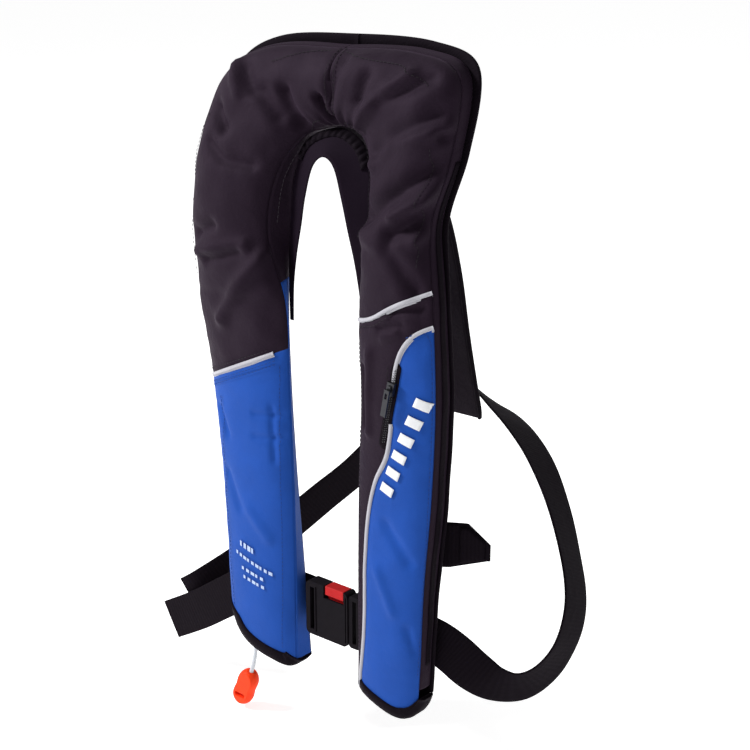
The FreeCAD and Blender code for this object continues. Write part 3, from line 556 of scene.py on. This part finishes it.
def piping(name, path, node):
    path = path + np.array([0, -0.7, 0])
    cord = tube(path, 1.75, 1.3, 12)
    flange = tube(path + np.array([0, 0.9, -1.6]), 2.2, 0.5, 8)
    piece(name, joined([cord, flange]), "piping_light", nodes=[node])


panel_top = panel_points[panel_points[:, 2] > -178]
panel_side = panel_points[panel_points[:, 2] < -202]
piping("piping_left", seam_path(left_seam_points, 0, -130, -40), "piping_lobe_left")
piping("piping_right", seam_path(right_seam_points, 0, 53, 133), "piping_lobe_right")
piping("piping_top", seam_path(panel_top, 2, -176, -100), "piping_panel_top")
piping("piping_side", seam_path(panel_side, 2, -474, -204), "piping_panel_side")

# ---------------------------------------------------------------- side walls, back and edge
wall_share = np.linspace(0, 1, 9)
row_count = np.arange(len(rows))[:, None]
ripple = np.sin(row_count * 3.0 / 6.3) * 0.5 + np.sin(row_count * 3.0 / 15.1 + 1.0) * 0.8


def wall(start, end, direction, bulge):
    """Wall from the front edge to the back edge, bulging along a direction."""
    points = start[:, None] + (end - start)[:, None] * wall_share[None, :, None]
    arch = np.sin(wall_share * math.pi)[None]
    return grid(points + direction[:, None] * ((bulge + 0.3 * ripple) * arch)[..., None])


inner_side = wall(inner, back_inner, -along, 0.4)
outer_side = wall(outer, outer + depth, along, 1.6)
in_left, _ = clip(inner_side, lambda v: SEAM_X - v[:, 0])
in_right, _ = clip(inner_side, lambda v: v[:, 0] - SEAM_X)
in_left, _ = clip(in_left, lambda v: above_hem(v, LEFT_HEM, 3.0))
in_right, _ = clip(in_right, lambda v: above_hem(v, RIGHT_HEM, 3.0))
GUSSET_Z = -112.0
in_blue, _ = clip(in_left, lambda v: GUSSET_Z - v[:, 2])
in_black, _ = clip(in_left, lambda v: v[:, 2] - GUSSET_Z)
out_left, _ = clip(outer_side, lambda v: SEAM_X - v[:, 0])
out_right, _ = clip(outer_side, lambda v: v[:, 0] - SEAM_X)
out_left, _ = clip(out_left, lambda v: v[:, 2] + 440)
out_right, _ = clip(out_right, lambda v: v[:, 2] + 452)
piece("gusset_inner_blue", in_blue, "nylon_blue", nodes=["gusset_inner_blue_left"], thick=CLOTH, offset=0)
piece("gusset_inner_black", in_black, "nylon_black", nodes=["gusset_inner_black_left"], thick=CLOTH, offset=0)
piece("gusset_inner_other", in_right, "nylon_black", nodes=["gusset_inner_right"], thick=CLOTH, offset=0)
piece("gusset_outer_one", out_left, "nylon_black", nodes=["gusset_outer_left"], thick=CLOTH, offset=0)
piece("gusset_outer_other", out_right, "nylon_black", nodes=["gusset_outer_right"], thick=CLOTH, offset=0)

back_share = np.linspace(0, 1, 30)
back = back_inner[:, None] + (outer + depth - back_inner)[:, None] * back_share[None, :, None]
back[..., 1] += 0.6 + lumps(back, 38.0, 2.2) * 0.8 * np.sin(back_share * math.pi)[None]
back = grid(back)
for name, half, hem, sign, flat, area in (
        ("back_cloth_left", "back_panel_left", LEFT_HEM, -1, (0.28, 0.60), 0.0560),
        ("back_cloth_right", "back_panel_right", RIGHT_HEM, 1, (0.28, 0.60), 0.0560)):
    sheet, _ = clip(back, lambda v: sign * (v[:, 0] - SEAM_X))
    sheet, _ = clip(sheet, lambda v: above_hem(v, hem, 1.0))
    obj = piece(name, sheet, "mesh_black", nodes=[half], thick=CLOTH, offset=0)

rim_wide = rows[:, 7:8] + 1.5
rim_path = outer + depth + along * rim_wide * 0.5 + np.array([0, -1.2, 0])
rim_wave = np.sin(row_count * 3.0 / 8.3) * 0.25 + np.sin(row_count * 3.0 / 21.0) * 0.5
ring = np.linspace(0, 2 * math.pi, 12, endpoint=False)
wide = np.sign(np.cos(ring)) * np.abs(np.cos(ring)) ** 0.6
high = np.sign(np.sin(ring)) * np.abs(np.sin(ring)) ** 0.6
rim = (rim_path[:, None] + along[:, None] * (rim_wide * 0.5 + 0.6)[..., None] * wide[None, :, None]
       + np.array([0, -1.0, 0]) * 1.7 * high[None, :, None]
       + np.array([0, 1.0, 0]) * rim_wave[..., None])
lower_rows = rows[:, 3] > -462
for name, keep, node in (("binding_one", lower_rows & (rim_path[:, 0] <= SEAM_X + 2), "edge_binding_left"),
                         ("binding_other", lower_rows & (rim_path[:, 0] > SEAM_X - 2), "edge_binding_right")):
    piece(name, wrapped(rim[keep]), "binding_black", nodes=[node])


def side_strip(name, keep, near, far, stand, look, node=None):
    """Flat tape on the outer wall between two shares of its depth."""
    spread = np.linspace(near, far, 6)
    points = outer[keep][:, None] + depth[keep][:, None] * spread[None, :, None]
    arch = 1.6 * np.sin(spread * math.pi)[None] + 0.5 * ripple[keep] * np.sin(spread * math.pi)[None]
    points = points + along[keep][:, None] * (arch + stand)[..., None]
    return piece(name, grid(points), look, nodes=[node] if node else [], thick=0.8, offset=0)


left_run = (rows[:, 2] < -100) & (rows[:, 3] < 0) & (rows[:, 3] > -432)
right_run = (rows[:, 2] > 100) & (rows[:, 3] < 10) & (rows[:, 3] > -430)
side_strip("burst_tape_one", left_run, 0.30, 0.62, 1.0, "binding_black", "burst_zip_left")
side_strip("burst_tape_other", right_run, 0.30, 0.62, 1.0, "binding_black", "burst_zip_right")


# ---------------------------------------------------------------- bound hems
def bound_hem(name, hem, low_x, high_x, back_y, tall, node):
    """Tape folded round the bottom of a lobe between two x limits, tapering to its outer end."""
    hem = hem[(hem[:, 0] > low_x) & (hem[:, 0] < high_x)]
    path = spaced(hem, hem, 3.0)
    run = np.gradient(path, axis=0)
    run /= np.linalg.norm(run, axis=1, keepdims=True)
    up = np.stack([-run[:, 1], run[:, 0]], 1)
    up *= np.where(up[:, 1:] < 0, -1.0, 1.0)
    outer_end = path[0] if path[0, 1] > path[-1, 1] else path[-1]
    rings = []
    for (px, pz), (ux, uz) in zip(path.tolist(), up.tolist()):
        grown = min(1.0, 0.25 + math.hypot(px - outer_end[0], pz - outer_end[1]) / 30.0)
        high = tall * grown
        front = min(front_y(px + ux * high, pz + uz * high), -12.4)
        middle = min(front_y(px + ux * high * 0.5, pz + uz * high * 0.5), -12.2)
        low = min(front_y(px + ux * 2, pz + uz * 2), -12.0)
        shape = [(front - 1.2, high), (front - 1.7, high - 1.5), (middle - 1.9, high * 0.5), (low - 0.9, 1.6),
                 (low + 1.5, -0.4), (low + 5, -1.4), (back_y - 5, -1.4), (back_y - 1, -0.4),
                 (back_y + 0.8, 2.0),
                 (back_y + 0.9, high * 0.8), (back_y - 1.0, high * 0.8), (0.0, 2.5), (front + 1.6, high)]
        rings.append([(px + ux * h, y, pz + uz * h) for y, h in shape])
    return piece(name, wrapped(np.array(rings)), "binding_black", nodes=[node])


bound_hem("hem_one", LEFT_HEM, -113, -25, 7.0, 13.0, "hem_left")
bound_hem("hem_other", RIGHT_HEM, 49, 121, 5.2, 11.0, "hem_right")

# ---------------------------------------------------------------- neck
NECK_ARCH = [
    (-40, 4, -150, -44.4, 5, -150), (-38, 3, -117, -45.8, 6, -117), (-33, 2, -88, -47, 8, -86),
    (-26.5, 1, -62, -46, 10, -52), (-20.5, 0, -36, -43.5, 12, -22), (-12, 0, -10, -32, 18, 9),
    (0, 0, 0, 2, 23, 21.5),
    (12, 0, -8, 33, 18, 10), (20.5, 0, -34, 45.5, 12, -16), (26.5, 1, -60, 48.6, 9, -54),
    (33, 2, -86, 49.6, 6, -90),
    (38, 3, -115, 49.6, 4, -118), (42, 4, -150, 49.2, 3, -150),
]
arch = catmull(NECK_ARCH, 10)
arch_near, arch_far = arch[:, None, :3], arch[:, None, 3:]
band = np.linspace(0, 0.97, 10)[None, :, None]
lining = arch_near + (arch_far - arch_near) * band
lining[..., 1] += 0.6
obj = piece("neck_band", grid(lining), "lining_black", nodes=["neck_lining"], thick=CLOTH, offset=0)
crest = catmull(NECK_ARCH, 30)
crest = crest[crest[:, 5] > -4]
pleat = np.sin(np.arange(len(crest))[:, None] * 0.95) * 1.1
roll_share = np.linspace(0.7, 1.0, 9)[None, :]
roll = crest[:, None, :3] + (crest[:, None, 3:] - crest[:, None, :3]) * roll_share[..., None]
roll[..., 1] -= (np.sin((roll_share - 0.7) / 0.3 * math.pi) * (2.4 + pleat)) + 0.4
piece("neck_elastic", grid(roll), "binding_black", nodes=["neck_gather"], thick=0.9, offset=0)


# ---------------------------------------------------------------- webbing
def webbing(stations, width, thick, step=3.0, wave=0.25):
    """Woven strap through stations of x, y, z and the direction of its width."""
    rows_ = catmull([s[:3] + s[3] for s in stations], 12)
    rows_ = spaced(rows_, rows_[:, :3], step)
    p, across = rows_[:, :3], rows_[:, 3:]
    run = np.gradient(p, axis=0)
    run /= np.linalg.norm(run, axis=1, keepdims=True)
    across = across - run * (across * run).sum(1, keepdims=True)
    across /= np.linalg.norm(across, axis=1, keepdims=True)
    normal = np.cross(run, across)
    w = np.array([-1, -0.985, -0.94, -0.7, -0.35, 0, 0.35, 0.7, 0.94, 0.985]) * width / 2
    t = np.array([0.0, 0.42, 0.5, 0.46, 0.5, 0.5, 0.5, 0.46, 0.5, 0.42]) * thick
    section = [(a, b) for a, b in zip(w, t)] + [(-a, -b) for a, b in zip(w, t)]
    rings = np.stack([p + across * a + normal * b for a, b in section], 1)
    rings += normal[:, None] * (np.sin(np.arange(len(p)) * step / 17.0) * wave)[:, None, None]
    return wrapped(rings)


UP = (0, 0, 1)
BELT_Z = -414.0
BELT_RIGHT = [
    (41.3, -6.0, BELT_Z, UP), (41.5, -1.0, BELT_Z, UP), (45.0, 4.6, BELT_Z, UP), (53.0, 8.6, BELT_Z, UP),
    (70.0, 9.6, -412.5, UP), (95.0, 9.6, -410.5, UP), (116, 12, -414, (0.25, 0.25, 0.92)),
    (131, 18, -423.5, (0.4, 0.35, 0.85)), (147, 28, -440, (0.45, 0.3, 0.83)),
    (163, 38, -451, (0.35, -0.05, 0.93)), (181, 50, -452.5, (0.05, -0.5, 0.86)),
    (198, 62, -439, (-0.05, -0.8, 0.58)), (210, 73, -414, (0.02, -0.9, 0.43)),
    (211.5, 85, -388.5, (0.02, -0.88, 0.48)), (204, 97, -365, (0, -0.86, 0.5)),
    (186, 112, -339, (-0.04, -0.85, 0.52)), (159, 132, -310, (-0.16, -0.84, 0.52)),
    (126, 155, -287, (-0.28, -0.84, 0.46)), (88, 178, -273, (-0.34, -0.84, 0.42)),
    (49, 201, -266, (-0.33, -0.82, 0.46)), (12, 217, -261, (-0.2, -0.72, 0.66)),
]
BELT_BACK_LEFT = [
    (-12, 217, -261, (0.1, -0.56, 0.82)), (-42, 200, -280, (0.05, -0.6, 0.8)),
    (-70, 174, -315, (0, -0.62, 0.79)),
    (-94, 149, -350, (-0.05, -0.62, 0.79)), (-113, 122, -374, (-0.08, -0.6, 0.8)),
    (-131, 96, -398, (-0.12, -0.58, 0.8)), (-150, 68, -422, (-0.2, -0.52, 0.82)),
    (-168, 41, -443, (-0.36, -0.42, 0.81)), (-183, 19, -459, (-0.5, -0.25, 0.82)),
    (-196, 12.4, -469, (-0.58, -0.1, 0.8)),
]
BELT_FRONT_LEFT = [
    (-8.5, -6.0, BELT_Z, UP), (-8.7, -1.0, BELT_Z, UP), (-12.2, 4.8, BELT_Z, UP), (-20.0, 9.2, BELT_Z, UP),
    (-36.0, 10.0, BELT_Z, UP), (-70.0, 10.0, -415.5, (-0.1, 0, 1)), (-105, 10.0, -428, (-0.4, 0, 0.9)),
    (-140, 10.0, -451, (-0.55, 0, 0.83)), (-180, 9.6, -478, (-0.6, 0, 0.8)),
    (-221, 8.8, -502, (-0.62, 0, 0.78)),
]
piece("belt_other", webbing(BELT_RIGHT, 40, 2.0), "webbing_black", nodes=["belt_right"])
piece("belt_rear", webbing(BELT_BACK_LEFT, 40, 2.0), "webbing_black", nodes=["belt_back_left"])
piece("belt_one", webbing(BELT_FRONT_LEFT, 40, 2.0), "webbing_black", nodes=["belt_front_left"])
STRAP_TOP = [(92, -304), (140, -301), (159, -319)]
STRAP_LOW = [(92, -345.5), (125, -343.5), (157, -333)]
STRAP_DEEP = [(92, 10.4), (112, 13.8), (132, 22), (162, 34)]
tab_x = np.linspace(92, 158.5, 34)
tab_top = np.interp(tab_x, *zip(*STRAP_TOP))
tab_low = np.interp(tab_x, *zip(*STRAP_LOW))
tab_deep = catmull(STRAP_DEEP, 8)
tab_deep = np.interp(tab_x, tab_deep[:, 0], tab_deep[:, 1])
tab_v = np.linspace(0, 1, 14)
tab = np.stack([np.repeat(tab_x[:, None], 14, 1), np.repeat(tab_deep[:, None], 14, 1),
                tab_low[:, None] + (tab_top - tab_low)[:, None] * tab_v[None]], 2)
fold = (tab_x > 134) & (tab_x < 156)
folded = tab[fold][:, 1:-1] + np.array([0.4, -2.3, 0.0])
folded[..., 1] += 0.9 * np.abs(tab_v[1:-1] * 2 - 1)[None] ** 6
piece("strap_tab", grid(tab), "webbing_black", nodes=["strap_end"], thick=1.8, offset=0)
piece("strap_fold", grid(folded), "webbing_black", thick=1.5, offset=0)
for name, bx, base, node in (("loop_one", -60, 8.0, "belt_loop_left"),
    ("loop_other", 80, 7.6, "belt_loop_right")):
    stations = [(bx, base + y, BELT_Z + h, (1, 0, 0)) for y, h in
                ((0, 33), (0, 27), (4.6, 23), (5.0, 0), (4.6, -23), (0, -27), (0, -33))]
    piece(name, webbing(stations, 38, 1.4, 2.0, 0.0), "webbing_black", nodes=[node])

# ---------------------------------------------------------------- yoke down the wearer's back
YOKE = [(34, 40, 51.5), (6, 40, 60), (-28, 40, 92), (-64, 39, 120), (-120, 38, 141),
        (-180, 37, 156), (-232, 34, 173), (-265, 30, 187), (-277, 27, 192.5)]
yoke_rows = catmull(YOKE, 10)
yoke_share = np.linspace(-1, 1, 19)
yoke = np.stack([yoke_rows[:, 1:2] * yoke_share[None], np.repeat(yoke_rows[:, 2:3] + 1.2, 19, 1),
                 np.repeat(yoke_rows[:, :1], 19, 1)], 2)
yoke[..., 1] += lumps(yoke, 34.0, 9.9) * 1.6 * (1 - np.abs(yoke_share) ** 4)[None]
obj = piece("back_yoke", grid(yoke), "mesh_black", nodes=["yoke"], thick=2.0, offset=0)
edges = []
for side in (-1, 1):
    path = np.stack([side * (yoke_rows[:, 1] + 0.6), yoke_rows[:, 2] + 1.2, yoke_rows[:, 0]], 1)
    edges.append(tube(path, 2.6, 1.9, 10, up=(1, 0, 0)))
piece("yoke_tape", joined(edges), "binding_black", nodes=["yoke_binding"])

# ---------------------------------------------------------------- pull cord
CORD_ROUTE = [(-0.0881, -0.0080, -0.4307), (-0.0872, -0.0080, -0.4520), (-0.0840, -0.0080, -0.4730),
              (-0.0856, -0.0080, -0.4920), (-0.0915, -0.0080, -0.5095)]
curve = bpy.data.curves.new("cord_pull", "CURVE")
curve.dimensions = "3D"
curve.bevel_depth = 0.002
curve.bevel_resolution = 4
curve.resolution_u = 16
spline = curve.splines.new("NURBS")
spline.points.add(len(CORD_ROUTE) - 1)
for point, place in zip(spline.points, CORD_ROUTE):
    point.co = (*place, 1.0)
spline.order_u = 3
spline.use_endpoint_u = True
curve.materials.append(LOOKS["cord_grey"])
cord = bpy.data.objects.new("cord_pull", curve)
bpy.context.scene.collection.objects.link(cord)
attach(cord, "pull")
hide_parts("pull_cord")

# ---------------------------------------------------------------- stitching
def dashes(path, length=2.4, gap=1.5, radius=0.32):
    """Row of short raised stitches along a path of points."""
    pitch = length + gap
    line = spaced(path, path, 0.6)
    far = np.concatenate([[0], np.cumsum(np.linalg.norm(np.diff(line, axis=0), axis=1))])
    made = []
    for k in range(int(far[-1] // pitch)):
        at = np.linspace(k * pitch, k * pitch + length, 5)
        core = np.stack([np.interp(at, far, column) for column in line.T], 1)
        arch_up = np.array([-0.25, 0.12, 0.22, 0.12, -0.25])
        made.append(tube(core + np.array([0, -1, 0]) * arch_up[:, None], radius, radius * 0.8, 6))
    return joined(made)


def on_cover(points, lift):
    """Points of x and z laid on the cover's front, standing off it by lift."""
    line = catmull(np.asarray(points, float), 6)
    line = spaced(line, line, 3.0)
    return np.array([(px, front_y(px, pz) - lift, pz) for px, pz in line.tolist()])


blue_rows = [
    [(-118, -216), (-60, -190.5), (-36, -179.5)], [(-118, -219.5), (-60, -194), (-36, -183)],
    [(-36, -186), (-36, -260), (-35.5, -340), (-36, -420), (-37, -462)],
    [(-104, -226), (-104, -300), (-101, -380), (-97, -436)],
    [(110, -131), (123, -126), (129, -140), (131, -200), (127, -290), (122, -360), (118, -440)],
]
black_rows = [
    [(-121, -205), (-60, -178.5), (-42, -170.5)],
    [(56, -133), (66, -129.5), (78, -126), (96, -114)],
    [(94, -158), (92, -190), (88, -222)], [(56, -146), (56.5, -200), (56.5, -290), (56, -380), (55, -440)],
    [(4, 88), (4, 60), (4, 34)], [(10.5, 88), (10.5, 60), (10.5, 34)],
    [(-60, 74), (-30, 83), (0, 86)], [(14, 86), (50, 83), (84, 80), (112, 66)],
    [(-141, -120), (-146, -70), (-141, -20), (-122, 30)], [(117, 20), (112, -30), (114, -76)],
    [(-43, -60), (-40, -20), (-24, 20), (-8, 29)], [(16, 29), (34, 20), (49, -14), (54, -60)],
]
piece("stitch_blue", joined([dashes(on_cover(row, 1.25)) for row in blue_rows]), "thread_blue")
piece("stitch_black", joined([dashes(on_cover(row, 1.25)) for row in black_rows]), "thread_black")

# ---------------------------------------------------------------- plain printed bars in place of lettering
def printed(corners, look):
    """Quads of x and z corners laid on the cover as thin print."""
    made = []
    u = np.linspace(0, 1, 7)[:, None, None]
    v = np.linspace(0, 1, 7)[None, :, None]
    for a, b, c, d in corners:
        a, b, c, d = (np.array(q, float) for q in (a, b, c, d))
        flat = (a * (1 - u) + b * u) * (1 - v) + (d * (1 - u) + c * u) * v
        points = np.array([[(q[0], front_y(q[0], q[1]) - 1.5, q[1]) for q in line] for line in flat.tolist()])
        made.append(grid(points))
    return joined(made)


bars = []
for start, end, tall in (((-84, -368), (-64, -372.5), 5.2), ((-90, -377.5), (-44, -389), 3.2),
                         ((-82, -391), (-53, -396.5), 3.0), ((-80, -399.5), (-52, -404.5), 3.0)):
    run_x, run_z = end[0] - start[0], end[1] - start[1]
    count = max(3, int(run_x / 5))
    for k in range(count):
        a, b = k / count, (k + 0.45 + 0.35 * (k * 7 % 3) / 2) / count
        low = (start[0] + run_x * a, start[1] + run_z * a)
        far_low = (start[0] + run_x * b, start[1] + run_z * b)
        bars.append((low, far_low, (far_low[0], far_low[1] + tall), (low[0], low[1] + tall)))
piece("print_block", printed(bars, "print_pale"), "print_pale", thick=0.12, offset=0)
slant = []
mark_low, mark_high = np.array([86.0, -268.0]), np.array([122.0, -178.0])
mark_run = (mark_high - mark_low) / np.linalg.norm(mark_high - mark_low)
mark_side = np.array([0.93, -0.37])
for k in range(6):
    base = mark_low + mark_run * (k * 17.2)
    low = base - mark_side * 1.0
    far = low + mark_side * 13.0
    slant.append((low, far, far + mark_run * 8.6, low + mark_run * 8.6))
piece("print_mark", printed(slant, "print_light"), "print_light", thick=0.12, offset=0)

# ---------------------------------------------------------------- bladder, folded inside the cover
FILL_COLUMNS = 24
FILL_BEHIND = 13.0        # the bladder keeps this far behind the cover, clear of its folds
FILL_LOW = -446.0
fill_start = inner + along * np.maximum(rows[:, 8:9], 0.0)
front_fill = (fill_start[:, None] + (outer - fill_start)[:, None]
              * np.linspace(0.07, 0.94, FILL_COLUMNS)[None, :, None])
fill_swell = (1 - np.abs(np.linspace(-1, 1, FILL_COLUMNS)) ** 2.5) ** 0.7
pleats = np.sin(np.linspace(0, 1, FILL_COLUMNS) * math.pi * 7)[None] * 0.6
front_fill[..., 1] += FILL_BEHIND - rows[:, 6:7] * fill_swell[None] * 0.9 + pleats
for x0, x1, z0, z1, deep in ((-130, -24, -520, -284, 3.9), (80, 112, -346, -212, 1.1),
                              (84, 114, -430, -362, 1.1)):
    room = ((front_fill[..., 0] > x0) & (front_fill[..., 0] < x1)
            & (front_fill[..., 2] > z0) & (front_fill[..., 2] < z1))
    front_fill[..., 1] = np.where(room, np.maximum(front_fill[..., 1], deep), front_fill[..., 1])
back_fill = (back_inner[:, None] + (outer + depth - back_inner)[:, None]
             * np.linspace(0.94, 0.06, FILL_COLUMNS)[None, :, None])
back_fill[..., 1] -= 1.0
keep = rows[:, 3] > FILL_LOW
bladder = np.concatenate([front_fill, back_fill], 1)[keep]
piece("bladder_folded", wrapped(bladder), "bladder_film", nodes=["bladder"])

# ---------------------------------------------------------------- pocket zip
tape, _ = clip(lower_right, lambda v: 4.6 - line_distance(v[:, 0], v[:, 2], [tuple(ZIP_TOP), tuple(ZIP_LOW)]))
tape = (tape[0] + np.array([0, -0.5, 0, 0, 0]), tape[1])
piece("zip_tape", tape, "binding_black", nodes=["pocket_zip_tape"], thick=0.5, offset=0)
teeth = []
zip_side = np.array([zip_run[1], -zip_run[0]])
for k in range(32):
    at = ZIP_TOP + zip_run * (2.0 + k * 2.1)
    for way in (-1, 1):
        near, far = at + zip_side * way * 0.2, at + zip_side * way * 1.7
        shift = zip_run * (0.5 if way > 0 else -0.5)
        line = np.array([(near[0] + shift[0], -26.95, near[1] + shift[1]),
            (far[0] + shift[0], -26.95, far[1] + shift[1])])
        teeth.append(tube(spaced(line, line, 0.7), 0.5, 0.22, 6))
piece("zip_teeth", joined(teeth), "zip_metal")

# ---------------------------------------------------------------- CAD pieces that stay
KEPT = {
    "inflator_head": "plastic_black", "lever_pivot_pin": "gas_steel", "valve_manifold": "brass",
    "manifold_nut": "brass", "manifold_gasket": "rubber_black", "gas_cylinder": "gas_steel",
    "sensor_cap": "plastic_yellow", "firing_lever": "plastic_black", "firing_pin": "brass",
    "pull_toggle": "plastic_orange", "oral_tube": "rubber_black", "oral_valve_body": "plastic_black",
    "oral_valve_poppet": "plastic_red", "whistle": "plastic_orange", "whistle_keeper": "webbing_solid",
    "buckle_female": "plastic_black", "buckle_male": "plastic_black", "latch_top": "plastic_red",
    "latch_bottom": "plastic_red", "zip_slider": "zip_metal", "zip_puller": "zip_metal",
}
for node, look in KEPT.items():
    mesh = NODES[node].data
    mesh.materials.clear()
    mesh.materials.append(LOOKS[look])

# ---------------------------------------------------------------- floor, light
floor_z = cad_box[0].z - 0.004
bpy.ops.mesh.primitive_plane_add(size=60, location=(0, 0, floor_z))
floor = bpy.context.object
floor.name = "floor"
pale, _, pale_shader = new_material("floor_pale")
pale_shader.inputs["Base Color"].default_value = (0.95, 0.95, 0.95, 1)
pale_shader.inputs["Roughness"].default_value = 0.9
pale_shader.inputs["Emission Color"].default_value = (1, 1, 1, 1)
pale_shader.inputs["Emission Strength"].default_value = 0.6
floor.data.materials.append(pale)

world = bpy.data.worlds.new("studio")
world.use_nodes = True
world.node_tree.nodes["Background"].inputs[0].default_value = (1, 1, 1, 1)
world.node_tree.nodes["Background"].inputs[1].default_value = 0.4
bpy.context.scene.world = world
for name, place, power, size in (("key", (-1.5, -1.3, 1.3), 75, 0.5), ("fill", (2.6, -1.4, 0.9), 6, 1.6),
                                 ("rim", (0.4, 2.2, 1.8), 12, 1.5)):
    light = bpy.data.lights.new(name, "AREA")
    light.energy = power
    light.size = size
    lamp = bpy.data.objects.new(name, light)
    lamp.location = place
    lamp.rotation_euler = (Vector((0, 0, -0.2)) - Vector(place)).to_track_quat("-Z", "Y").to_euler()
    bpy.context.scene.collection.objects.link(lamp)
bpy.context.scene.view_settings.view_transform = "Standard"
